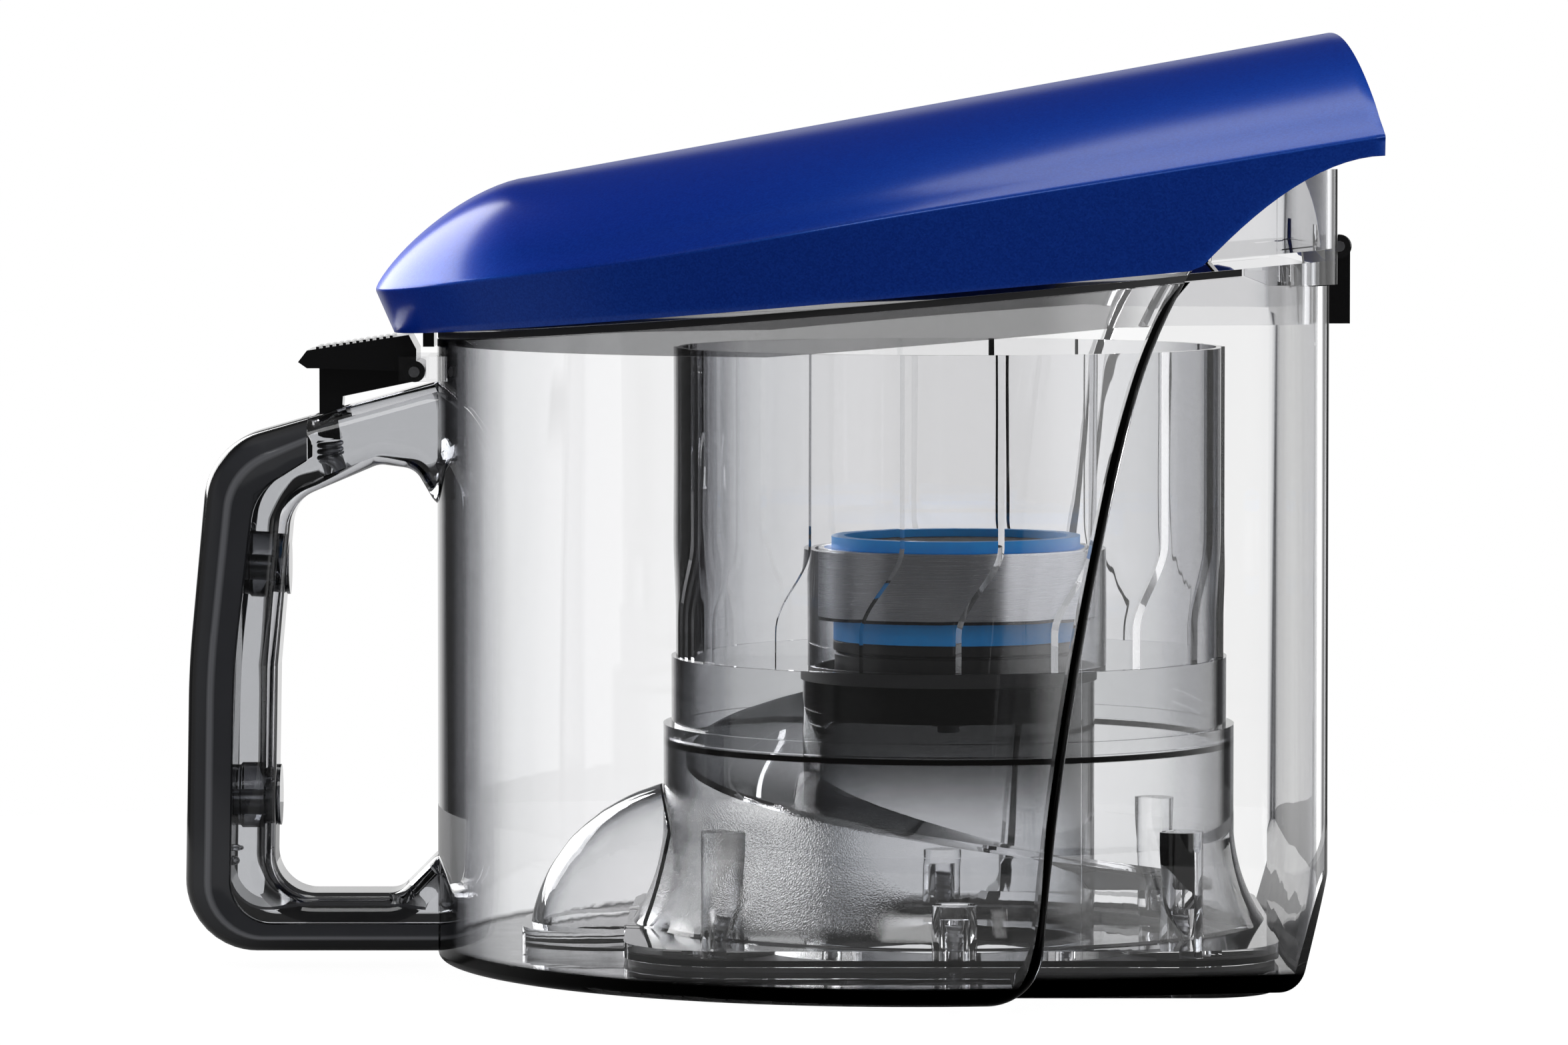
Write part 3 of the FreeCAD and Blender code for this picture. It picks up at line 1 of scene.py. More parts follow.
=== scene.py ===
import math
import bmesh
import bpy
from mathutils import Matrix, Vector


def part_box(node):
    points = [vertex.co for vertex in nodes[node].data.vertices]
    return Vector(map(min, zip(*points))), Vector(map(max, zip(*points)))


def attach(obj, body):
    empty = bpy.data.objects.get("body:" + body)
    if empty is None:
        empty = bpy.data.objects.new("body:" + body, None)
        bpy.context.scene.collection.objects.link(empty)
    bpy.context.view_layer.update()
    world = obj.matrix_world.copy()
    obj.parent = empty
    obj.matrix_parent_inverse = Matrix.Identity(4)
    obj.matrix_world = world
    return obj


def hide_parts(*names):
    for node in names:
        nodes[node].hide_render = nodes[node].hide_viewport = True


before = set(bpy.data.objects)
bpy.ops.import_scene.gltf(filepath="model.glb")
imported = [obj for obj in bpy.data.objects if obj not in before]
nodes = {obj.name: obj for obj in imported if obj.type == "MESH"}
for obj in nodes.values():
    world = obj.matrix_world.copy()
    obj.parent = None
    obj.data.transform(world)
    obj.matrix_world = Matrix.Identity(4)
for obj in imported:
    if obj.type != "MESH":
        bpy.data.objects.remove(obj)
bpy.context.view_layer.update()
scene = bpy.context.scene

# ---------------------------------------------------------------- camera
# A long lens at the height of the lid, looking slightly down at the near side of the bin.
camera_distance, camera_height, camera_side = 1.8, 0.198, 0.00375
camera_dip = math.radians(3.124)
camera = bpy.data.objects.new("camera", bpy.data.cameras.new("camera"))
camera.data.lens = 183.67
camera.data.clip_end = 50
camera.location = (camera_side, -camera_distance, camera_height)
camera.rotation_euler = (math.pi / 2 - camera_dip, 0, 0)
bpy.context.collection.objects.link(camera)
scene.camera = camera
scene.view_settings.view_transform = "Standard"
# Enough for light to pass every clear wall on its way
clear_bounces = 26
scene.cycles.max_bounces = clear_bounces
scene.cycles.transmission_bounces = clear_bounces
scene.cycles.transparent_max_bounces = clear_bounces
scene.cycles.glossy_bounces = 6


# ---------------------------------------------------------------- studio
# A white paper floor and a white room behind clear things. What shines sees dim walls with soft panels to the
# right, to the left, overhead, and low behind the bin.
def linear(code):
    """An sRGB hex colour as the linear values that a socket takes."""
    parts = [int(code[place:place + 2], 16) / 255 for place in (1, 3, 5)]
    return [part / 12.92 if part <= 0.04045 else ((part + 0.055) / 1.055) ** 2.4 for part in parts] + [1.0]


def add(tree, kind, inputs=(), **settings):
    """Add a node, set its options, and fill its inputs with values, sockets or other nodes' first outputs."""
    node = tree.nodes.new(kind)
    for name, setting in settings.items():
        setattr(node, name, setting)
    for name, given in dict(inputs).items():
        if isinstance(given, bpy.types.Node):
            given = given.outputs[0]
        if isinstance(given, bpy.types.NodeSocket):
            tree.links.new(given, node.inputs[name])
        else:
            node.inputs[name].default_value = given
    return node


def new_material(name):
    """An empty node material and its tree."""
    material = bpy.data.materials.new(name)
    material.use_nodes = True
    material.node_tree.nodes.clear()
    return material, material.node_tree


def seen_directly(tree):
    """1 for what the camera sees straight, or through clear plastic with no reflection on the way."""
    path = add(tree, "ShaderNodeLightPath")
    unreflected = add(tree, "ShaderNodeMath", {0: path.outputs["Glossy Depth"], 1: 0.5},
                      operation="LESS_THAN")
    through = add(tree, "ShaderNodeMath", {0: path.outputs["Is Transmission Ray"], 1: unreflected},
                  operation="MULTIPLY")
    return add(tree, "ShaderNodeMath", {0: path.outputs["Is Camera Ray"], 1: through}, operation="MAXIMUM")


world = bpy.data.worlds.new("studio")
scene.world = world
world.use_nodes = True
tree = world.node_tree
tree.nodes.clear()
toward = add(tree, "ShaderNodeSeparateXYZ", {0: add(tree, "ShaderNodeTexCoord").outputs["Generated"]})
# A panel is (axis, where it begins, where it is full, strength)
panels = {"right": ("X", 0.5, 0.7, 1.4), "left": ("X", -0.8, -0.95, 0.25), "ceiling": ("Z", 0.7, 0.9, 0.40)}
low_down = add(tree, "ShaderNodeMapRange", {0: toward.outputs["Z"], 1: 0.10, 2: 0.26, 3: 1.0, 4: 0.0},
               interpolation_type="SMOOTHSTEP")
behind = add(tree, "ShaderNodeMapRange", {0: toward.outputs["Y"], 1: 0.90, 2: 0.985, 4: 0.95},
             interpolation_type="SMOOTHSTEP")
sweep_panel = add(tree, "ShaderNodeMath", {0: low_down, 1: behind}, operation="MULTIPLY")
wall_level, diffuse_level = 0.06, 0.5
room = add(tree, "ShaderNodeMath", {0: sweep_panel, 1: wall_level}, operation="MAXIMUM")
for axis, start, end, strength in panels.values():
    panel = add(tree, "ShaderNodeMapRange", {0: toward.outputs[axis], 1: start, 2: end, 4: strength},
                interpolation_type="SMOOTHSTEP")
    room = add(tree, "ShaderNodeMath", {0: room, 1: panel}, operation="MAXIMUM")
path = add(tree, "ShaderNodeLightPath")
soft_room = add(tree, "ShaderNodeMix", {"Factor": path.outputs["Is Diffuse Ray"], "A": room,
                                        "B": diffuse_level})
seen = add(tree, "ShaderNodeMix", {"Factor": seen_directly(tree), "A": soft_room, "B": 1.0})
light = add(tree, "ShaderNodeBackground", {"Color": linear("#ffffff"), "Strength": seen})
add(tree, "ShaderNodeOutputWorld", {"Surface": light})

floor_radius, floor_sides = 0.42, 64
floor_mesh = bpy.data.meshes.new("floor")
floor_turns = [2 * math.pi * side / floor_sides for side in range(floor_sides)]
floor_mesh.from_pydata([(floor_radius * math.cos(turn), floor_radius * math.sin(turn), 0)
                        for turn in floor_turns], [], [list(range(floor_sides))])
floor = bpy.data.objects.new("floor", floor_mesh)
bpy.context.collection.objects.link(floor)
floor.location.z = -0.0003
# Matt and evenly white, so that only the bin's shadow draws on it
paper, tree = new_material("white sweep paper")
matt = add(tree, "ShaderNodeBsdfDiffuse", {"Color": linear("#a8a8a8")})
glow_strength, glow_share = 1.13, 0.86
glow = add(tree, "ShaderNodeEmission", {"Color": linear("#ffffff"), "Strength": glow_strength})
share = add(tree, "ShaderNodeMath", {0: seen_directly(tree), 1: glow_share}, operation="MULTIPLY")
white = add(tree, "ShaderNodeMixShader", {0: share, 1: matt, 2: glow})
add(tree, "ShaderNodeOutputMaterial", {"Surface": white})
floor_mesh.materials.append(paper)


def softbox(name, place, size, watts, aim=(0, 0, 0.11)):
    """A rectangular area lamp that points at the bin."""
    lamp = bpy.data.lights.new(name, "AREA")
    lamp.shape = "RECTANGLE"
    lamp.size, lamp.size_y = size
    lamp.energy = watts
    holder = bpy.data.objects.new(name, lamp)
    holder.location = place
    holder.rotation_euler = (Vector(aim) - Vector(place)).to_track_quat("-Z", "Y").to_euler()
    bpy.context.collection.objects.link(holder)


softbox("nose_softbox", (-1.05, 1.28, 0.62), (1.3, 0.9), 24)
softbox("top_softbox", (0.40, 0.55, 1.40), (1.3, 0.4), 5.5)
softbox("front_softbox", (-0.3, -1.5, 1.6), (1.0, 0.6), 9)


# ---------------------------------------------------------------- container
# The clear dust bin itself: a round drum with a flat-backed box behind a curved step, injection moulded in
# polycarbonate with its floor, a thick slab. The slab's edge and the step's wall are painted as near-black
# lines of shade.
def clear_moulding(name, tints_and_shade, roughness=0.01, ior=1.46, darkening=None, relief=None):
    """Clear plastic: colourless face on, and grey to black where the eye looks along a wall, partly its own
    tint and partly painted shade for the dark room that a slanting wall reflects.
    A tint is (share of the way from face on to edge on, colour that it passes there).
    Darkening is a function that gives a mask for places taken to near-black, and relief one that gives a bump
    normal."""
    material, tree = new_material(name)
    edge = add(tree, "ShaderNodeLayerWeight", {"Blend": 0.5})
    ramp = add(tree, "ShaderNodeValToRGB", {"Fac": edge.outputs["Facing"]})
    stops = ramp.color_ramp
    stops.interpolation = "EASE"
    while len(stops.elements) < len(tints_and_shade):
        stops.elements.new(0.5)
    for stop, (share, colour) in zip(stops.elements, tints_and_shade):
        stop.position = share
        stop.color = linear(colour)
    body = add(tree, "ShaderNodeBsdfPrincipled", {
        "Base Color": ramp.outputs["Color"], "Transmission Weight": 1.0, "Roughness": roughness, "IOR": ior})
    if darkening:
        mask = darkening(tree)
        for socket, clean in (("Base Color", ramp.outputs["Color"]), ("Specular Tint", linear("#ffffff"))):
            dim = add(tree, "ShaderNodeMix", {"Factor": mask, 6: clean, 7: linear("#000000")},
                      data_type="RGBA")
            tree.links.new(dim.outputs[2], body.inputs[socket])
    if relief:
        tree.links.new(relief(tree), body.inputs["Normal"])
    passing = add(tree, "ShaderNodeBsdfTransparent", {"Color": linear("#f2f2f2")})
    path = add(tree, "ShaderNodeLightPath")
    lit = add(tree, "ShaderNodeMixShader", {0: path.outputs["Is Shadow Ray"], 1: body, 2: passing})
    add(tree, "ShaderNodeOutputMaterial", {"Surface": lit})
    return material


def dress(material, *names):
    """Give CAD nodes one material."""
    for name in names:
        mesh = nodes[name].data
        mesh.materials.clear()
        mesh.materials.append(material)


def painted_floor_edge_shade(tree):
    """The upright faces of the floor slab, painted near-black as shade."""
    dark_below, clear_above, most_tilt = 0.0056, 0.0068, 0.7
    axes = add(tree, "ShaderNodeSeparateXYZ", {0: add(tree, "ShaderNodeTexCoord").outputs["Object"]})
    low = add(tree, "ShaderNodeMapRange", {0: axes.outputs["Z"], 1: dark_below, 2: clear_above, 3: 1.0,
                                           4: 0.0})
    normal = add(tree, "ShaderNodeNewGeometry").outputs["True Normal"]
    facing = add(tree, "ShaderNodeSeparateXYZ", {0: normal})
    tilt = add(tree, "ShaderNodeMath", {0: facing.outputs["Z"]}, operation="ABSOLUTE")
    upright = add(tree, "ShaderNodeMath", {0: tilt, 1: most_tilt}, operation="LESS_THAN")
    return add(tree, "ShaderNodeMath", {0: low, 1: upright}, operation="MULTIPLY").outputs[0]


def painted_step_shade(tree):
    """The wall of the curved step, seen end on from outside, painted as shade: a near-black line as wide as
    the wall.
    The curve gives ten times the line's X in metres for five times its height."""
    line_width, blur, side_from = 0.0024, 0.0002, 0.080
    axes = add(tree, "ShaderNodeSeparateXYZ", {0: add(tree, "ShaderNodeTexCoord").outputs["Object"]})
    height = add(tree, "ShaderNodeMath", {0: axes.outputs["Z"], 1: 5.0}, operation="MULTIPLY")
    bend = add(tree, "ShaderNodeFloatCurve", {"Value": height})
    line = bend.mapping.curves[0]
    spots = [(0.010, 0.4715), (0.030, 0.5610), (0.070, 0.5915), (0.213, 0.6215), (0.356, 0.6633),
             (0.500, 0.7170), (0.6425, 0.7825), (0.7375, 0.8520), (0.825, 0.9550), (1.0, 0.9550)]
    line.points[0].location, line.points[1].location = spots[0], spots[-1]
    for spot in spots[1:-1]:
        line.points.new(*spot)
    bend.mapping.update()
    line_x = add(tree, "ShaderNodeMath", {0: bend, 1: 0.1}, operation="MULTIPLY")
    past = add(tree, "ShaderNodeMath", {0: axes.outputs["X"], 1: line_x}, operation="SUBTRACT")
    first = add(tree, "ShaderNodeMapRange", {0: past, 1: -line_width, 2: blur - line_width})
    last = add(tree, "ShaderNodeMapRange", {0: past, 1: 0.0, 2: -blur})
    side = add(tree, "ShaderNodeMath", {0: axes.outputs["Y"]}, operation="ABSOLUTE")
    side = add(tree, "ShaderNodeMath", {0: side, 1: side_from}, operation="GREATER_THAN")
    inside = add(tree, "ShaderNodeNewGeometry").outputs["Backfacing"]
    outside = add(tree, "ShaderNodeMath", {0: 1.0, 1: inside}, operation="SUBTRACT")
    step_shade_mask = add(tree, "ShaderNodeMath", {0: first, 1: last}, operation="MULTIPLY")
    for share in (side, outside):
        step_shade_mask = add(tree, "ShaderNodeMath", {0: step_shade_mask, 1: share}, operation="MULTIPLY")
    return step_shade_mask.outputs[0]


def painted_dark_places(tree):
    """Both of the container's places painted near-black as shade, in one mask."""
    both = add(tree, "ShaderNodeMath", {0: painted_floor_edge_shade(tree), 1: painted_step_shade(tree)}, operation="MAXIMUM")
    return both.outputs[0]


def flow_lines(spacing, height):
    """Faint upright waves that the melt leaves along the wall, as far apart as spacing in metres."""
    def relief(tree):
        place = add(tree, "ShaderNodeMapping", {0: add(tree, "ShaderNodeTexCoord").outputs["Object"],
                                                "Scale": (1 / spacing, 1 / spacing, 0.12 / spacing)})
        wave = add(tree, "ShaderNodeTexNoise", {"Vector": place, "Scale": 1.0, "Detail": 2.0})
        return add(tree, "ShaderNodeBump", {"Height": wave, "Strength": 1.0, "Distance": height}).outputs[0]
    return relief


# Colourless and glossy face on, then grey and soon black along the round wall, with faint upright waves
clear_polycarbonate = clear_moulding(
    "clear polycarbonate, moulded and polished",
    [(0.0, "#fefefe"), (0.30, "#fafafb"), (0.48, "#eeeff0"), (0.56, "#d3d4d6"), (0.66, "#a9aaae"),
     (0.76, "#404144"), (0.92, "#0c0c0d")],
    darkening=painted_dark_places, relief=flow_lines(0.022, 0.00012))
dress(clear_polycarbonate, "container_body")


# ---------------------------------------------------------------- foot plate and lever bracket
# Two small pieces of the container, moulded in clear polycarbonate: the plate under the floor that the bin
# stands on, which the base screws hold, and the two ears that carry the release lever.

# Slightly grey face on, and softer at the edges than the big walls
clear_small = clear_moulding(
    "clear polycarbonate, small moulding",
    [(0.0, "#f4f4f5"), (0.35, "#e2e3e5"), (0.6, "#a7a8ac"), (0.8, "#4a4b4e"), (0.95, "#121213")])
dress(clear_small, "lever_bracket", "foot_plate")


# ---------------------------------------------------------------- clear half of the handle
# The inner half of the carrying handle, a hollow shell moulded in light smoke polycarbonate. It meets the
# container above and below, and leaves an opening for four fingers.

# Smoke in the melt: a light grey that one still looks through, with darker rims
smoke_grey = clear_moulding(
    "clear polycarbonate, light smoke",
    [(0.0, "#d8d9db"), (0.35, "#b4b5b9"), (0.6, "#77787d"), (0.8, "#303134"), (0.95, "#0c0c0d")])
dress(smoke_grey, "handle_grip")


# ---------------------------------------------------------------- handle cover
# The dark back half of the handle, moulded in smoke ABS and screwed to the clear half. A raised line runs
# along each of its sides, and its crown is rounded to the palm.
def rounded_route(corners, steps=12):
    """Points along straight runs with a round bend at each corner. A corner is (x, z, bend radius)."""
    route = []
    for number, (x, z, bend) in enumerate(corners):
        here = Vector((x, z))
        if not bend:
            route.append(here)
            continue
        back = (Vector(corners[number - 1][:2]) - here).normalized()
        ahead = (Vector(corners[number + 1][:2]) - here).normalized()
        half = back.angle(ahead) / 2
        middle = here + (back + ahead).normalized() * bend / math.sin(half)
        first = here + back * bend / math.tan(half) - middle
        last = here + ahead * bend / math.tan(half) - middle
        for step in range(steps + 1):
            turn = first.lerp(last, step / steps)
            route.append(middle + turn.normalized() * bend)
    return route


def ring_faces(start, rings, count, closed=False):
    """Faces between neighbouring rings of count points each. Closed also joins the last ring to the first."""
    faces = []
    for ring in range(rings if closed else rings - 1):
        here, there = start + ring * count, start + (ring + 1) % rings * count
        for corner in range(count):
            after = (corner + 1) % count
            faces.append((here + corner, here + after, there + after, there + corner))
    return faces


def finish_mesh(name, points, faces, material, body, smooth=35):
    """A new piece from points and faces in metres, closed, facing outwards, on one body."""
    mesh = bpy.data.meshes.new(name)
    mesh.from_pydata([tuple(point) for point in points], [], faces)
    shape = bmesh.new()
    shape.from_mesh(mesh)
    bmesh.ops.remove_doubles(shape, verts=shape.verts, dist=1e-6)
    bmesh.ops.recalc_face_normals(shape, faces=shape.faces)
    shape.to_mesh(mesh)
    shape.free()
    mesh.polygons.foreach_set("use_smooth", [True] * len(mesh.polygons))
    mesh.set_sharp_from_angle(angle=math.radians(smooth))
    mesh.materials.append(material)
    piece = bpy.data.objects.new(name, mesh)
    bpy.context.collection.objects.link(piece)
    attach(piece, body)
    return piece


low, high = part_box("handle_cover")
# The strip starts at end below, runs up the back, and stops at front above
foot, back, end, front, half = low[2], low[0], -0.0738, -0.1030, 0.0130
outer = rounded_route([(end, foot, 0), (back, foot, 0.016), (back + 0.0011, 0.068, 0.2),
                       (back + 0.0058, high[2] - 0.0063, 0.017), (front, high[2], 0)])
inner = rounded_route([(end, foot + 0.0067, 0), (back + 0.0106, foot + 0.0067, 0.0093),
                       (back + 0.0117, 0.068, 0.2), (back + 0.0164, high[2] - 0.0169, 0.012),
                       (front, high[2] - 0.0096, 0)])
# Across the strip: how deep towards the fingers, and how far from the middle
outside = [(1.0, 0.925), (0.96, 0.96), (0.6, 0.975), (0.53, 1.0), (0.47, 1.0), (0.41, 0.965), (0.22, 0.9),
           (0.1, 0.80), (0.03, 0.66), (0.0, 0.45), (-0.01, 0.0)]
inside = [(1.0, 0.74), (0.95, 0.74), (0.6, 0.76), (0.53, 0.76), (0.47, 0.75), (0.41, 0.74), (0.30, 0.70),
          (0.26, 0.60), (0.25, 0.5), (0.25, 0.35), (0.25, 0.0)]
loop = outside + [(depth, -side) for depth, side in reversed(outside[:-1])]
loop += [(depth, -side) for depth, side in inside] + [(depth, side) for depth, side in reversed(inside[:-1])]
points = []
for out, into in zip(outer, inner):
    for depth, side in loop:
        spot = out.lerp(into, max(depth, 0.0))
        points.append((spot.x, side * half, spot.y))
count = len(loop)
faces = ring_faces(0, len(outer), count)
for ring in (0, len(outer) - 1):
    for number in range(count // 2 - 1):
        start = ring * count
        across = start + count - 1 - number
        faces.append((start + number, start + number + 1, across - 1, across))

# Nearly black, with a sharp gloss and faint clouds in the melt about 17 mm across. It is painted darker as
# shade where it turns from view, with a painted highlight along the raised line on each side
dark_smoke, tree = new_material("dark smoke ABS, moulded")
grain = add(tree, "ShaderNodeTexNoise", {"Vector": add(tree, "ShaderNodeTexCoord").outputs["Object"],
                                         "Scale": 60.0, "Detail": 3.0})
shade = add(tree, "ShaderNodeMix", {"Factor": grain, 6: linear("#2b2c2f"), 7: linear("#37383c")},
            data_type="RGBA")
# Painted shade: the colour darkens where the strip turns away from view
edge = add(tree, "ShaderNodeLayerWeight", {"Blend": 0.5})
painted_rim_shade = add(tree, "ShaderNodeMapRange", {0: edge.outputs["Facing"], 1: 0.12, 2: 0.5},
                  interpolation_type="SMOOTHSTEP")
shade = add(tree, "ShaderNodeMix", {"Factor": painted_rim_shade, 6: shade.outputs[2], 7: linear("#0b0b0c")},
            data_type="RGBA")
# Painted highlight: a paler grey on the raised line along each side
line = add(tree, "ShaderNodeAttribute", attribute_name="painted_line_highlight", attribute_type="GEOMETRY")
shade = add(tree, "ShaderNodeMix", {"Factor": line.outputs["Fac"], 6: shade.outputs[2], 7: linear("#66676b")},
            data_type="RGBA")
gloss = add(tree, "ShaderNodeMapRange", {0: grain, 3: 0.08, 4: 0.14})
glossy = add(tree, "ShaderNodeBsdfPrincipled", {
    "Base Color": shade.outputs[2], "Roughness": gloss, "IOR": 1.5})
add(tree, "ShaderNodeOutputMaterial", {"Surface": glossy})
cover_strip = finish_mesh("handle_back_cover", points, faces, dark_smoke, "container")
# The points of the raised line on each side carry the painted highlight
widest = half * 0.995
painted_highlight = cover_strip.data.attributes.new("painted_line_highlight", "FLOAT", "POINT")
for vertex in cover_strip.data.vertices:
    painted_highlight.data[vertex.index].value = 1.0 if abs(vertex.co.y) > widest else 0.0
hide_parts("handle_cover")


# ---------------------------------------------------------------- bosses and rib of the handle
# Two ringed bosses that the screws of the handle run in, and the thin rib that closes the cover's inner edge.
# All are moulded with the dark cover, and are seen through the clear half.
boss_rings = [(0.0, 1.0), (0.16, 1.0), (0.19, 0.93), (0.30, 0.93), (0.33, 1.0), (0.62, 1.0), (0.65, 0.86),
              (0.92, 0.86), (0.95, 0.93), (1.0, 0.93)]
boss_reach, boss_radius, boss_sides = (back + 0.0095, back + 0.0225), 0.0074, 36
# A boss is (height, shift in X)
boss_places = [(0.0905, 0.0012), (0.0383, -0.0010)]
points, faces = [], []
for boss_height, shift in boss_places:
    start = len(points)
    for along, share in boss_rings:
        x = boss_reach[0] + (boss_reach[1] - boss_reach[0]) * along + shift
        for side in range(boss_sides):
            turn = 2 * math.pi * side / boss_sides
            reach = boss_radius * share
            points.append((x, reach * math.cos(turn), boss_height + reach * math.sin(turn)))
    faces += ring_faces(start, len(boss_rings), boss_sides)
    faces.append([start + side for side in range(boss_sides)])
    faces.append([start + (len(boss_rings) - 1) * boss_sides + side for side in range(boss_sides)])

# Mid grey face on and black at the rims, where the light passes more of it and where painted shade stands in
# for the dark room
boss_smoke = clear_moulding(
    "dark smoke ABS, bosses",
    [(0.0, "#6f7074"), (0.3, "#4c4d50"), (0.6, "#26272a"), (0.85, "#0b0b0c"), (0.95, "#060607")])
bosses = finish_mesh("handle_bosses", points, faces, boss_smoke, "container")

rib_line = rounded_route([(end - 0.003, foot + 0.0098, 0), (back + 0.0099, foot + 0.0098, 0.0085),
                          (back + 0.0114, 0.062, 0.2), (back + 0.0138, 0.1135, 0.013),
                          (front + 0.006, 0.1219, 0)])
rib_half, rib_thick = 0.0088, 0.0006
points = []
for number, spot in enumerate(rib_line):
    ahead = rib_line[min(number + 1, len(rib_line) - 1)] - rib_line[max(number - 1, 0)]
    across = Vector((-ahead.y, ahead.x)).normalized() * rib_thick / 2
    for turn, side in ((1, 1), (1, -1), (-1, -1), (-1, 1)):
        points.append((spot.x + across.x * turn, rib_half * side, spot.y + across.y * turn))
faces = ring_faces(0, len(rib_line), 4)
faces += [(0, 1, 2, 3), tuple(len(points) - 4 + side for side in range(4))]
rib = finish_mesh("handle_inner_rib", points, faces, dark_smoke, "container")


# ---------------------------------------------------------------- snap hooks of the handle
# Small loops that hold the two halves of the handle together, in light smoke polycarbonate. They are moulded
# with the clear half, and show through it as bright rings.
hook_middle = back + 0.0116
# A hook is (shift in X, height, length, thickness)
hook_places = [(-0.0006, 0.0992, 0.0088, 0.0020), (-0.0042, 0.0238, 0.0082, 0.0018),
               (-0.0022, 0.0267, 0.0064, 0.0010)]
hook_side, hook_half_width = -0.0045, 0.0035
points, faces = [], []
ring_steps, tube_steps, tube_share = 28, 8, 0.22
for shift, height, length, thick in hook_places:
    start = len(points)
    for step in range(ring_steps):
        turn = 2 * math.pi * step / ring_steps
        out_x, out_y = math.cos(turn), math.sin(turn)
        for bend in range(tube_steps):
            lean = 2 * math.pi * bend / tube_steps
            reach = 1 + tube_share * math.cos(lean)
            points.append((hook_middle + shift + out_x * reach * length / 2,
                           hook_side + out_y * reach * hook_half_width,
                           height + thick / 2 * math.sin(lean)))
    faces += ring_faces(start, ring_steps, tube_steps, closed=True)
hooks = finish_mesh("handle_snap_hooks", points, faces, smoke_grey, "container")


# ---------------------------------------------------------------- cyclone base
# The clear flared skirt on its square flange, moulded in ABS with six screw bosses. Its lower wall keeps a
# spark-eroded grain from the mould, and the rest is polished.
def eroded_grain(tree):
    """Fine spark-eroded grain, about 0.4 mm, low on the skirt towards the handle. It scatters the light."""
    spot = add(tree, "ShaderNodeTexCoord").outputs["Object"]
    grain = add(tree, "ShaderNodeTexNoise", {"Vector": spot, "Scale": 2600.0, "Detail": 2.0})
    axes = add(tree, "ShaderNodeSeparateXYZ", {0: spot})
    patch = 1.0
    for axis, bare, grained in (("X", 0.035, -0.005), ("Z", 0.042, 0.034), ("Z", 0.011, 0.016)):
        share = add(tree, "ShaderNodeMapRange", {0: axes.outputs[axis], 1: bare, 2: grained},
                    interpolation_type="SMOOTHSTEP")
        patch = add(tree, "ShaderNodeMath", {0: patch, 1: share}, operation="MULTIPLY")
    rough = add(tree, "ShaderNodeMath", {0: grain, 1: patch}, operation="MULTIPLY")
    return add(tree, "ShaderNodeBump", {"Height": rough, "Strength": 0.6, "Distance": 0.0003}).outputs[0]


def painted_collar_shade(tree):
    """The thick collar and the flange of the skirt, painted as near-black lines of shade on the outside."""
    axes = add(tree, "ShaderNodeSeparateXYZ", {0: add(tree, "ShaderNodeTexCoord").outputs["Object"]})
    collar_height, flange_height, half_thick = 0.0509, 0.0078, 0.0006
    lines = 0.0
    for middle in (collar_height, flange_height):
        off = add(tree, "ShaderNodeMath", {0: axes.outputs["Z"], 1: middle}, operation="SUBTRACT")
        off = add(tree, "ShaderNodeMath", {0: off}, operation="ABSOLUTE")
        band = add(tree, "ShaderNodeMapRange", {0: off, 1: half_thick, 2: half_thick * 1.3, 3: 1.0, 4: 0.0})
        lines = add(tree, "ShaderNodeMath", {0: lines, 1: band}, operation="MAXIMUM")
    inside = add(tree, "ShaderNodeNewGeometry").outputs["Backfacing"]
    outside = add(tree, "ShaderNodeMath", {0: 1.0, 1: inside}, operation="SUBTRACT")
    return add(tree, "ShaderNodeMath", {0: lines, 1: outside}, operation="MULTIPLY").outputs[0]


# Clear face on, and darker along its curves than the container. Thin dark lines of shade are painted at the
# flange and collar
cyclone_tints_and_shade = [(0.0, "#fbfbfc"), (0.30, "#eeeff0"), (0.5, "#c6c7ca"), (0.65, "#77787c"), (0.78, "#2b2c2e"),
                 (0.93, "#0a0a0b")]
abs_ior = 1.49
cyclone_clear = clear_moulding("clear ABS, moulded", cyclone_tints_and_shade, ior=abs_ior)
dress(cyclone_clear, "inlet_dome", "helical_ramp")
cyclone_grained = clear_moulding("clear ABS, moulded with eroded grain", cyclone_tints_and_shade, ior=abs_ior,
                                 darkening=painted_collar_shade, relief=eroded_grain)
dress(cyclone_grained, "cyclone_base")


# ---------------------------------------------------------------- base screws
# Six thread-forming screws of zinc-plated steel. They hold the skirt, its gasket and the floor to the foot
# plate, and are driven from below.
def sizes_tree(name, sizes, takes_geometry=False):
    """A geometry tree with named sizes as its inputs."""
    tree = bpy.data.node_groups.new(name, "GeometryNodeTree")
    tree.interface.new_socket("Geometry", in_out="OUTPUT", socket_type="NodeSocketGeometry")
    if takes_geometry:
        tree.interface.new_socket("Geometry", in_out="INPUT", socket_type="NodeSocketGeometry")
    for label, size in sizes.items():
        tree.interface.new_socket(label, in_out="INPUT", socket_type="NodeSocketFloat").default_value = size
    return tree, add(tree, "NodeGroupInput").outputs


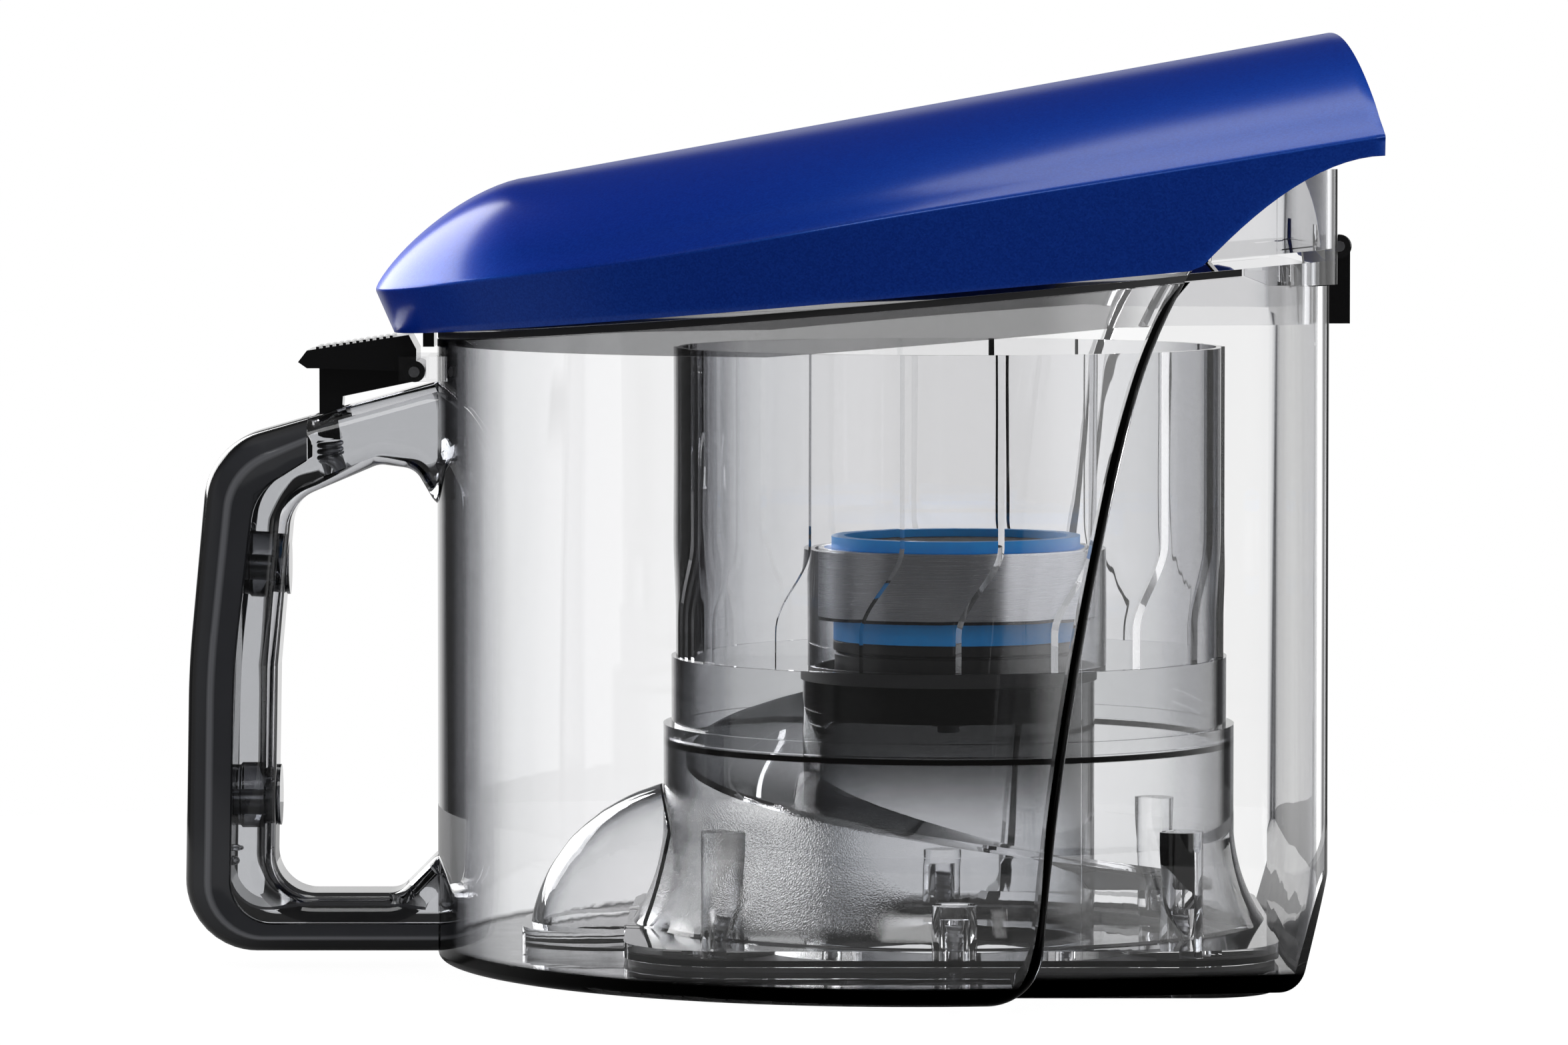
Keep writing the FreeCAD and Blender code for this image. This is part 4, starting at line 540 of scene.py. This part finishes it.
def run_tree(name, tree, result, material, body, sizes, start=None, smooth=35):
    """End a tree in realized, dressed geometry, run it, and keep a plain mesh that rides on one body."""
    solid = add(tree, "GeometryNodeRealizeInstances", {0: result})
    dressed = add(tree, "GeometryNodeSetMaterial", {"Geometry": solid, "Material": material})
    add(tree, "NodeGroupOutput", {0: dressed})
    piece = bpy.data.objects.new(name, start or bpy.data.meshes.new(name))
    bpy.context.collection.objects.link(piece)
    modifier = piece.modifiers.new("rule", "NODES")
    modifier.node_group = tree
    for item in tree.interface.items_tree:
        if item.in_out == "INPUT" and item.name in sizes:
            modifier[item.identifier] = sizes[item.name]
    made = bpy.data.meshes.new_from_object(piece.evaluated_get(bpy.context.evaluated_depsgraph_get()))
    piece.modifiers.remove(modifier)
    piece.data = made
    made.name = name
    made.polygons.foreach_set("use_smooth", [True] * len(made.polygons))
    made.set_sharp_from_angle(angle=math.radians(smooth))
    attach(piece, body)
    return piece


def mottled(name, scale, detail, shades, roughness, metallic=0.0, relief=None):
    """An opaque material whose colour and roughness drift together, with scale cells to a metre.
    Relief is the strength and the height in metres of the bump that the same noise gives."""
    material, tree = new_material(name)
    spot = add(tree, "ShaderNodeTexCoord").outputs["Object"]
    noise = add(tree, "ShaderNodeTexNoise", {"Vector": spot, "Scale": scale, "Detail": detail})
    tint = add(tree, "ShaderNodeMix", {"Factor": noise, 6: linear(shades[0]), 7: linear(shades[1])},
               data_type="RGBA")
    rough = add(tree, "ShaderNodeMapRange", {0: noise, 3: roughness[0], 4: roughness[1]})
    body = add(tree, "ShaderNodeBsdfPrincipled", {
        "Base Color": tint.outputs[2], "Metallic": metallic, "Roughness": rough})
    if relief:
        bump = add(tree, "ShaderNodeBump", {"Height": noise, "Strength": relief[0], "Distance": relief[1]})
        tree.links.new(bump.outputs[0], body.inputs["Normal"])
    add(tree, "ShaderNodeOutputMaterial", {"Surface": body})
    return material


# The upright axis of the whole cyclone stands at this X
tube_x = 0.0408
screw_low, screw_high = (corner[2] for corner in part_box("base_screws"))
screw_sizes = {"Length": screw_high - screw_low, "Shank radius": 0.0017, "Thread radius": 0.0022,
               "Pitch": 0.0016, "Head radius": 0.0038, "Head top radius": 0.0030, "Head height": 0.0016}
tree, size = sizes_tree("threaded screw", screw_sizes, takes_geometry=True)
shank_length = add(tree, "ShaderNodeMath", {0: size["Length"], 1: size["Head height"]}, operation="SUBTRACT")
shank = add(tree, "GeometryNodeMeshCylinder", {"Vertices": 20, "Radius": size["Shank radius"],
                                               "Depth": size["Length"]})
middle = add(tree, "ShaderNodeMath", {0: size["Length"], 1: 0.5}, operation="MULTIPLY")
shank_up = add(tree, "GeometryNodeTransform", {
    "Geometry": shank, "Translation": add(tree, "ShaderNodeCombineXYZ", {"Z": middle})})
head = add(tree, "GeometryNodeMeshCone", {"Vertices": 24, "Radius Top": size["Head top radius"],
                                          "Radius Bottom": size["Head radius"],
                                          "Depth": size["Head height"]})
turns = add(tree, "ShaderNodeMath", {0: shank_length, 1: size["Pitch"]}, operation="DIVIDE")
thread_line = add(tree, "GeometryNodeCurveSpiral", {
    "Resolution": 18, "Rotations": turns, "Start Radius": size["Shank radius"],
    "End Radius": size["Shank radius"], "Height": shank_length})
depth = add(tree, "ShaderNodeMath", {0: size["Thread radius"], 1: size["Shank radius"]}, operation="SUBTRACT")
ridge = add(tree, "GeometryNodeCurvePrimitiveCircle", {"Resolution": 3, "Radius": depth}, mode="RADIUS")
thread = add(tree, "GeometryNodeCurveToMesh", {"Curve": thread_line, "Profile Curve": ridge,
                                               "Fill Caps": True})
thread_up = add(tree, "GeometryNodeTransform", {
    "Geometry": thread, "Translation": add(tree, "ShaderNodeCombineXYZ", {"Z": size["Head height"]})})
screw = add(tree, "GeometryNodeJoinGeometry")
for part in (thread_up, head, shank_up):
    tree.links.new(part.outputs[0], screw.inputs[0])
screws = add(tree, "GeometryNodeInstanceOnPoints", {"Points": size["Geometry"], "Instance": screw})
boss_circle = 0.0664
boss_turns = [math.radians(angle) for angle in (41, 90, 139, 221, 270, 319)]
seats = bpy.data.meshes.new("boss_places")
seats.from_pydata([(tube_x + boss_circle * math.cos(turn), boss_circle * math.sin(turn), screw_low)
                   for turn in boss_turns], [], [])

# Bright grey metal with a soft spangle, about a millimetre across. The other small steel pieces share it
zinc = mottled("zinc-plated steel", 900.0, 2.0, ("#9fa0a4", "#c6c7ca"), (0.22, 0.38), metallic=1.0)
threaded = run_tree("base_threaded_screws", tree, screws, zinc, "container", screw_sizes, start=seats)
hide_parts("base_screws")
dress(zinc, "lever_pin", "handle_screws", "lever_spring", "hinge_pins", "turbine_shaft", "shaft_clip",
      "lower_bearing", "upper_bearing")


# ---------------------------------------------------------------- cyclone tube
# The clear tube over the skirt, moulded in ABS. Its wall steps in eighteen times round its outside, and each
# step swings aside in one smooth bend at the height of the turbine, to turn the air.

# Light smoke in the collar below the tube, darkest along its rim
collar_smoke = clear_moulding(
    "smoke ABS, moulded",
    [(0.0, "#eaebec"), (0.3, "#d9dadc"), (0.55, "#a3a4a8"), (0.75, "#3c3d40"), (0.93, "#0a0a0b")],
    ior=abs_ior)
dress(collar_smoke, "cyclone_lower_tube")

low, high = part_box("cyclone_tube")
tube_sizes = {"Outer radius": 0.062, "Inner radius": 0.0600, "Step depth": 0.0011, "Steps": 18.0,
              "Bottom": low[2], "Top": high[2], "Bend low": 0.0785, "Bend high": 0.0975, "Bend turn": 0.150,
              "Centre": tube_x}
columns_a_step, tube_rows = 14, 52
tree, size = sizes_tree("stepped tube", tube_sizes)
rows = add(tree, "GeometryNodeMeshCube", {
    "Size": (1, 1, 1), "Vertices X": int(tube_sizes["Steps"]) * columns_a_step + 1, "Vertices Y": tube_rows,
    "Vertices Z": 2})
facing = add(tree, "ShaderNodeSeparateXYZ", {0: add(tree, "GeometryNodeInputNormal")})
lean = add(tree, "ShaderNodeMath", {0: facing}, operation="ABSOLUTE")
ends = add(tree, "ShaderNodeMath", {0: lean, 1: 0.5}, operation="GREATER_THAN")
open_rows = add(tree, "GeometryNodeDeleteGeometry", {"Geometry": rows, "Selection": ends}, domain="FACE")
place = add(tree, "ShaderNodeSeparateXYZ", {0: add(tree, "GeometryNodeInputPosition")})
round_share = add(tree, "ShaderNodeMath", {0: place.outputs["X"], 1: 0.5}, operation="ADD")
steps_round = add(tree, "ShaderNodeMath", {0: round_share, 1: size["Steps"]}, operation="MULTIPLY")
sector = add(tree, "ShaderNodeMath", {0: steps_round}, operation="FLOOR")
along_sector = add(tree, "ShaderNodeMath", {0: steps_round}, operation="FRACT")
# The last three tenths of the columns crowd into the six hundredths of the sector where the wall steps back
wide_pace, crowded_pace, step_back = 1.343, 0.2, 0.06
wide_part = add(tree, "ShaderNodeMath", {0: along_sector, 1: wide_pace}, operation="MULTIPLY")
step_part = add(tree, "ShaderNodeMath", {0: along_sector, 1: crowded_pace, 2: 1 - crowded_pace},
                operation="MULTIPLY_ADD")
spread = add(tree, "ShaderNodeMath", {0: wide_part, 1: step_part}, operation="MINIMUM")
rising = add(tree, "ShaderNodeMath", {0: spread, 1: 1 / (1 - step_back)}, operation="MULTIPLY")
still_left = add(tree, "ShaderNodeMath", {0: 1.0, 1: spread}, operation="SUBTRACT")
falling = add(tree, "ShaderNodeMath", {0: still_left, 1: 1 / step_back}, operation="MULTIPLY")
tooth = add(tree, "ShaderNodeMath", {0: rising, 1: falling}, operation="MINIMUM")
height_share = add(tree, "ShaderNodeMath", {0: place.outputs["Y"], 1: 0.5}, operation="ADD")
height = add(tree, "ShaderNodeMapRange", {0: height_share, 3: size["Bottom"], 4: size["Top"]})
bend = add(tree, "ShaderNodeMapRange", {0: height, 1: size["Bend low"], 2: size["Bend high"], 3: 1.0, 4: 0.0},
           interpolation_type="SMOOTHSTEP")
swing = add(tree, "ShaderNodeMath", {0: bend, 1: size["Bend turn"]}, operation="MULTIPLY")
sector_angle = add(tree, "ShaderNodeMath", {0: 2 * math.pi, 1: size["Steps"]}, operation="DIVIDE")
sectors_passed = add(tree, "ShaderNodeMath", {0: sector, 1: spread}, operation="ADD")
straight_turn = add(tree, "ShaderNodeMath", {0: sectors_passed, 1: sector_angle}, operation="MULTIPLY")
turn = add(tree, "ShaderNodeMath", {0: straight_turn, 1: swing}, operation="SUBTRACT")
cut_in = add(tree, "ShaderNodeMath", {0: tooth, 1: size["Step depth"]}, operation="MULTIPLY")
outside_radius = add(tree, "ShaderNodeMath", {0: size["Outer radius"], 1: cut_in}, operation="SUBTRACT")
wall_share = add(tree, "ShaderNodeMath", {0: place.outputs["Z"], 1: 0.5}, operation="ADD")
radius = add(tree, "ShaderNodeMapRange", {0: wall_share, 3: size["Inner radius"], 4: outside_radius})
cosine = add(tree, "ShaderNodeMath", {0: turn}, operation="COSINE")
sine = add(tree, "ShaderNodeMath", {0: turn}, operation="SINE")
across = add(tree, "ShaderNodeMath", {0: radius, 1: cosine}, operation="MULTIPLY")
deep = add(tree, "ShaderNodeMath", {0: radius, 1: sine}, operation="MULTIPLY")
across = add(tree, "ShaderNodeMath", {0: across, 1: size["Centre"]}, operation="ADD")
spot = add(tree, "ShaderNodeCombineXYZ", {"X": across, "Y": deep, "Z": height})
wrapped = add(tree, "GeometryNodeSetPosition", {"Geometry": open_rows, "Position": spot})
closed = add(tree, "GeometryNodeMergeByDistance", {"Geometry": wrapped, "Distance": 0.00001})

# Slightly grey, with finer upright waves than the container's wall
tube_clear = clear_moulding(
    "clear ABS, stepped tube",
    [(0.0, "#f5f5f6"), (0.30, "#e3e4e6"), (0.55, "#a6a7ac"), (0.75, "#56575b"), (0.93, "#0e0e0f")],
    ior=abs_ior, relief=flow_lines(0.009, 0.00006))
stepped_tube = run_tree("cyclone_stepped_tube", tree, closed, tube_clear, "container", tube_sizes, smooth=28)
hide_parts("cyclone_tube")


# ---------------------------------------------------------------- outlet pipe and sleeve
# The round pipe that the cleaned air leaves by, moulded in smoke polycarbonate, and the nearly clear sleeve
# above its seal, which the turbine turns in.
def darker_above(tree):
    """The pipe's colour deepens with height, to nearly black towards the seal."""
    clear_below, dark_above, darkest = 0.028, 0.050, 0.75
    axes = add(tree, "ShaderNodeSeparateXYZ", {0: add(tree, "ShaderNodeTexCoord").outputs["Object"]})
    return add(tree, "ShaderNodeMapRange", {0: axes.outputs["Z"], 1: clear_below, 2: dark_above, 3: 0.0,
                                            4: darkest}, interpolation_type="SMOOTHSTEP").outputs[0]


# Clear grey below, nearly black towards the seal
pipe_smoke = clear_moulding(
    "smoke polycarbonate, moulded",
    [(0.0, "#e8e9eb"), (0.3, "#d0d2d5"), (0.55, "#8a8c90"), (0.75, "#2c2d30"), (0.92, "#08080a")],
    roughness=0.02, darkening=darker_above)
dress(pipe_smoke, "outlet_pipe")
# A light grey veil over the drum, with dark upright edges
sleeve_smoke = clear_moulding(
    "pale smoke polycarbonate, moulded",
    [(0.0, "#f5f5f6"), (0.4, "#dfe0e3"), (0.65, "#9d9fa3"), (0.82, "#3a3b3e"), (0.95, "#0c0c0e")])
dress(sleeve_smoke, "turbine_housing")


# ---------------------------------------------------------------- turbine
# A drum of stainless sheet brushed round its axis, on a black rotor, with a blue band below and a blue ring
# above that clamps a disc of dark woven mesh.

# Fine level lines, and highlights that stretch upwards across them
brushed, tree = new_material("stainless steel, brushed round its axis")
spot = add(tree, "ShaderNodeTexCoord").outputs["Object"]
centred = add(tree, "ShaderNodeMapping", {0: spot, "Location": (-tube_x, 0, 0)})
axes = add(tree, "ShaderNodeSeparateXYZ", {0: centred})
around = add(tree, "ShaderNodeMath", {0: axes.outputs["Y"], 1: axes.outputs["X"]}, operation="ARCTAN2")
# The real lines are about 0.05 mm apart, and are drawn at 0.12 mm so that they show
lines_place = add(tree, "ShaderNodeCombineXYZ", {
    "X": add(tree, "ShaderNodeMath", {0: around, 1: 1.2}, operation="MULTIPLY"),
    "Y": add(tree, "ShaderNodeMath", {0: axes.outputs["Z"], 1: 8000.0}, operation="MULTIPLY")})
lines = add(tree, "ShaderNodeTexNoise", {"Vector": lines_place, "Scale": 1.0, "Detail": 3.0})
steel_tint = add(tree, "ShaderNodeMix", {"Factor": lines, 6: linear("#d4d5d8"), 7: linear("#e4e5e7")},
                 data_type="RGBA")
steel_rough = add(tree, "ShaderNodeMapRange", {0: lines, 3: 0.24, 4: 0.32})
scratches = add(tree, "ShaderNodeBump", {"Height": lines, "Strength": 0.3, "Distance": 0.000005})
grain_way = add(tree, "ShaderNodeTangent", direction_type="RADIAL", axis="Z")
steel = add(tree, "ShaderNodeBsdfPrincipled", {
    "Base Color": steel_tint.outputs[2], "Metallic": 1.0, "Roughness": steel_rough, "Anisotropic": 0.6,
    "Anisotropic Rotation": 0.25, "Normal": scratches, "Tangent": grain_way})
add(tree, "ShaderNodeOutputMaterial", {"Surface": steel})
dress(brushed, "turbine_drum")

# A bright blue with a soft gloss, and faint swirls in the melt, about 8 mm across
blue_moulded = mottled("blue ABS, moulded", 120.0, 3.0, ("#009dfa", "#08acff"), (0.25, 0.4))
dress(blue_moulded, "turbine_band", "turbine_cap_ring")

# Dark and dull, with a fine diagonal weave
woven, tree = new_material("dark nylon mesh, twill woven")
spot = add(tree, "ShaderNodeTexCoord").outputs["Object"]
# The wave texture repeats every 0.31 of its units, so 1100 units to a metre lay the threads 0.29 mm apart
units_a_metre = 1100
diagonal = add(tree, "ShaderNodeMapping", {0: spot, "Rotation": (0, 0, math.radians(45)),
                                           "Scale": [units_a_metre] * 3})
warp = add(tree, "ShaderNodeTexWave", {"Vector": diagonal, "Scale": 1.0}, bands_direction="X")
weft = add(tree, "ShaderNodeTexWave", {"Vector": diagonal, "Scale": 1.0}, bands_direction="Y")
weave = add(tree, "ShaderNodeMath", {0: warp, 1: weft}, operation="MAXIMUM")
thread_tint = add(tree, "ShaderNodeMix", {"Factor": weave, 6: linear("#141210"), 7: linear("#4a4540")},
                  data_type="RGBA")
weave_relief = add(tree, "ShaderNodeBump", {"Height": weave, "Strength": 0.8, "Distance": 0.0003})
cloth = add(tree, "ShaderNodeBsdfPrincipled", {
    "Base Color": thread_tint.outputs[2], "Roughness": 0.7, "Sheen Weight": 0.2, "Normal": weave_relief})
add(tree, "ShaderNodeOutputMaterial", {"Surface": cloth})
dress(woven, "mesh_filter")


# ---------------------------------------------------------------- rotor hem and bearing shroud
# The black hem under the blue band turns with the rotor. The black shroud below it is fixed over the bearing.
# Both are thin rings of moulded polyamide.
def turned_ring(name, outer, inner, bottom, top, soften, material, body):
    """A ring about the turbine's axis with softened outer edges."""
    section = [(inner, bottom), (outer - soften, bottom), (outer, bottom + soften), (outer, top - soften),
               (outer - soften, top), (inner, top)]
    sides, points = 72, []
    for side in range(sides):
        turn = 2 * math.pi * side / sides
        points += [(tube_x + reach * math.cos(turn), reach * math.sin(turn), z) for reach, z in section]
    faces = ring_faces(0, sides, len(section), closed=True)
    return finish_mesh(name, points, faces, material, body)


# Black with a soft sheen, slightly cloudy in patches of about 2 mm
black_satin = mottled("black polyamide, satin", 500.0, 3.0, ("#0d0d0e", "#171718"), (0.25, 0.4))
rotor_hem = turned_ring("rotor_hem", 0.0276, 0.0262, 0.0714, 0.0737, 0.0002, black_satin, "turbine")
shroud = turned_ring("bearing_shroud", 0.0272, 0.0258, 0.0600, 0.0709, 0.0004, black_satin, "container")


# ---------------------------------------------------------------- seals
# Five gaskets that keep the air in its way: under the skirt, round the pipe, in the lid and at both ports
# below. They are moulded in black rubber and pressed into their seats.

# Matt, with the faint mottle of talc, in patches of about 2.5 mm
rubber = mottled("black rubber, moulded", 400.0, 4.0, ("#131314", "#202022"), (0.45, 0.65),
                 relief=(0.3, 0.00005))
dress(rubber, "base_gasket", "outlet_seal", "inlet_seal", "pipe_seal", "lid_gasket")


# ---------------------------------------------------------------- release lever and black fittings
# The thumb lever on its steel pin, the catch under the lid's nose, the hinge brackets, the bearings' carrier
# and the rotor. All are black ABS out of a polished mould.

# One deep black, with small sharp highlights that ripple a little, about every 1.4 mm
black_abs, tree = new_material("black ABS, moulded")
ripple = add(tree, "ShaderNodeTexNoise", {"Vector": add(tree, "ShaderNodeTexCoord").outputs["Object"],
                                          "Scale": 700.0, "Detail": 3.0})
ripple_gloss = add(tree, "ShaderNodeMapRange", {0: ripple, 3: 0.07, 4: 0.13})
ripple_relief = add(tree, "ShaderNodeBump", {"Height": ripple, "Strength": 0.15, "Distance": 0.00003})
polished = add(tree, "ShaderNodeBsdfPrincipled", {
    "Base Color": linear("#121213"), "Roughness": ripple_gloss, "Normal": ripple_relief})
add(tree, "ShaderNodeOutputMaterial", {"Surface": polished})
dress(black_abs, "release_lever", "hinge_brackets", "bearing_spider", "turbine_rotor", "lid_catch")


# ---------------------------------------------------------------- clear lid
# The lid that closes the bin under the blue cover, moulded in clear polycarbonate. It turns up about two pins
# at the rear.
def darker_front(tree):
    """The lid's low front half, which is darker than the rest of the lid."""
    darker_until, clear_from, darkest = 0.070, 0.088, 0.62
    axes = add(tree, "ShaderNodeSeparateXYZ", {0: add(tree, "ShaderNodeTexCoord").outputs["Object"]})
    return add(tree, "ShaderNodeMapRange", {0: axes.outputs["X"], 1: darker_until, 2: clear_from, 3: darkest,
                                            4: 0.0}, interpolation_type="SMOOTHSTEP").outputs[0]


# Nearly colourless over most of the lid, and deeper grey in front
lid_clear = clear_moulding(
    "clear polycarbonate, lid",
    [(0.0, "#f3f3f4"), (0.35, "#e6e7e9"), (0.6, "#b0b1b4"), (0.8, "#47484b"), (0.95, "#0d0d0e")],
    darkening=darker_front)
dress(lid_clear, "lid_body")


# ---------------------------------------------------------------- blue cover
# The big painted shell on the lid: an arched top that climbs to the rear over steep sides, moulded in ABS and
# sprayed with metallic blue under clear lacquer. A soft raised edge runs along each side.
low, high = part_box("lid_cover")
axis_x, tip_x, rear_x, crest_end, pole_x = 0.03135, low[0], high[0], 0.1260, -0.0300
half_width, rear_half = high[1] - 0.0002, 0.1010
crease_tip, crease_climb, crest_at_axis, crest_climb = 0.1525, 0.159, 0.1929, 0.18
side_lean, nose_lean, crest_crowding = 0.0010, 0.0032, 1.35
side_steps, nose_steps, across_steps, wall_steps = 36, 40, 28, 7


def half_at(x):
    """Half of the cover's width: an ellipse at the nose, then a slow taper to the rear."""
    if x < axis_x:
        return half_width * max(1 - ((axis_x - x) / (axis_x - tip_x)) ** 2, 0.0) ** 0.5
    return half_width - (half_width - rear_half) * ((x - axis_x) / (rear_x - axis_x)) ** 1.5


def crease_height(x):
    """Height of the soft edge between the top and the side."""
    dip = 0.0013 * math.exp(-((x - tip_x - 0.060) / 0.038) ** 2)
    return crease_tip + (x - tip_x) * crease_climb - dip


def crest_height(x):
    """Height of the middle line: a rounded nose, then a straight climb."""
    nose_length = 0.032
    drop = crest_at_axis + (tip_x - axis_x) * crest_climb - crease_height(tip_x)
    share = min(max((x - tip_x) / nose_length, 0.0), 1.0)
    return crest_at_axis + (x - axis_x) * crest_climb - drop * (1 - share ** 0.8) ** 1.6


def top_height(x, y):
    """Height of the arched top, with a faint hollow above the soft edge."""
    arch_power, hollow_depth = 2.6, 0.0003
    side = min(abs(y) / max(half_at(x), 1e-6), 1.0)
    hollow = hollow_depth * math.exp(-((side - 0.93) / 0.035) ** 2) * min((x - tip_x) / 0.03, 1.0)
    return crease_height(x) + (crest_height(x) - crease_height(x)) * (1 - side ** arch_power) - hollow


def hem_height(x):
    """Height of the lower edge: level with the rim, then a hollow sweep up to the rear."""
    hem_tip, rim_climb, sweep_start, sweep_rise = 0.14287, 0.0893, 0.0915, 0.0243
    share = max((x - sweep_start) / (rear_x - sweep_start), 0.0)
    level = hem_tip + (min(x, sweep_start) - tip_x) * rim_climb
    return level + sweep_rise * (1 - (1 - share) ** 1.85) ** 1.05


# Each column climbs the wall from the lower edge, then crosses the top to the middle line. The columns go
# from the rear along one side, round the nose, and back along the other side.
outline = [(rear_x + (axis_x - rear_x) * step / side_steps, 90.0) for step in range(side_steps)]
outline += [(None, 90.0 - 90.0 * step / nose_steps) for step in range(nose_steps + 1)]
outline += [(x, -turn) for x, turn in reversed(outline[:-1])]
points, faces = [], []
for x, degrees in outline:
    turn = math.radians(degrees)
    if x is None:
        x = axis_x - (axis_x - tip_x) * math.cos(turn)
    y = -half_at(x) * math.copysign(1, degrees) if abs(degrees) > 1e-6 else 0.0
    share = (axis_x - pole_x) / (axis_x - tip_x) if x < axis_x else (crest_end - axis_x) / (rear_x - axis_x)
    middle_x = axis_x + (x - axis_x) * share
    curve = 1 + max((x - axis_x) / (rear_x - axis_x), 0.0)
    inset = side_lean + nose_lean * max(math.cos(turn), 0.0) ** 2
    in_x, in_y = inset * math.cos(turn), -math.copysign(inset, y) * abs(math.sin(turn))
    for step in range(wall_steps):
        up = step / wall_steps
        points.append((x + in_x * (1 - up), y + in_y * (1 - up),
                       hem_height(x) + (crease_height(x) - hem_height(x)) * up))
    for step in range(across_steps + 1):
        out = 1 - (step / across_steps) ** crest_crowding
        over = middle_x + (x - middle_x) * out ** curve
        points.append((over, y * out, top_height(over, y * out)))
column = wall_steps + across_steps + 1
for number in range(len(outline) - 1):
    for step in range(column - 1):
        start = number * column + step
        faces.append((start, start + column, start + column + 1, start + 1))
mesh = bpy.data.meshes.new("lid_blue_cover")
mesh.from_pydata(points, [], faces)
shape = bmesh.new()
shape.from_mesh(mesh)
bmesh.ops.remove_doubles(shape, verts=shape.verts, dist=2e-5)
bmesh.ops.recalc_face_normals(shape, faces=shape.faces)
if sum(face.normal.z * face.calc_area() for face in shape.faces) < 0:
    bmesh.ops.reverse_faces(shape, faces=shape.faces)
crease = [edge for edge in shape.edges if len(edge.link_faces) == 2 and edge.calc_face_angle(0) > 0.5]
bmesh.ops.bevel(shape, geom=crease, offset=0.0014, segments=4, profile=0.5, affect="EDGES",
                clamp_overlap=True)
shape.to_mesh(mesh)
shape.free()
painted = bpy.data.objects.new("lid_blue_cover", mesh)
bpy.context.collection.objects.link(painted)
wall = painted.modifiers.new("wall", "SOLIDIFY")
wall.thickness, wall.offset = 0.0020, -1.0
hem_edge = painted.modifiers.new("hem", "BEVEL")
hem_edge.width, hem_edge.segments = 0.0004, 2
hem_edge.limit_method, hem_edge.angle_limit = "ANGLE", math.radians(60)
solid = bpy.data.meshes.new_from_object(painted.evaluated_get(bpy.context.evaluated_depsgraph_get()))
painted.modifiers.clear()
painted.data = solid
solid.polygons.foreach_set("use_smooth", [True] * len(solid.polygons))
solid.set_sharp_from_angle(angle=math.radians(40))

# Deep blue from the side and brighter where the flakes face a lamp, under a soft clear gloss. Flakes of about
# 0.05 mm are drawn at 0.35 mm, so that they show
lacquer, tree = new_material("metallic blue lacquer over ABS, sprayed")
flakes = add(tree, "ShaderNodeTexVoronoi", {"Vector": add(tree, "ShaderNodeTexCoord").outputs["Object"],
                                            "Scale": 2800.0})
flake_shade = add(tree, "ShaderNodeSeparateColor", {0: flakes.outputs["Color"]})
pigment_tint = add(tree, "ShaderNodeMix", {"Factor": flake_shade.outputs[0], 6: linear("#01136e"),
                                           7: linear("#02197e")}, data_type="RGBA")
flake_tint = add(tree, "ShaderNodeMix", {"Factor": flake_shade.outputs[0], 6: linear("#2a74e0"),
                                         7: linear("#3a86f2")}, data_type="RGBA")
flake_rough = add(tree, "ShaderNodeMapRange", {0: flake_shade.outputs[1], 3: 0.38, 4: 0.48})
flake_lean = add(tree, "ShaderNodeBump", {"Height": flake_shade.outputs[2], "Strength": 0.12,
                                          "Distance": 0.0001})
pigment = add(tree, "ShaderNodeBsdfPrincipled", {
    "Base Color": pigment_tint.outputs[2], "Roughness": 0.5, "Specular IOR Level": 0.0, "Coat Weight": 0.4,
    "Coat Roughness": 0.17})
flake = add(tree, "ShaderNodeBsdfPrincipled", {
    "Base Color": flake_tint.outputs[2], "Metallic": 1.0, "Roughness": flake_rough, "Normal": flake_lean,
    "Specular Tint": linear("#5c86ee"), "Coat Weight": 0.4, "Coat Roughness": 0.17})
flake_share = 0.22
sprayed = add(tree, "ShaderNodeMixShader", {0: flake_share, 1: pigment, 2: flake})
add(tree, "ShaderNodeOutputMaterial", {"Surface": sprayed})
solid.materials.clear()
solid.materials.append(lacquer)
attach(painted, "lid")
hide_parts("lid_cover")
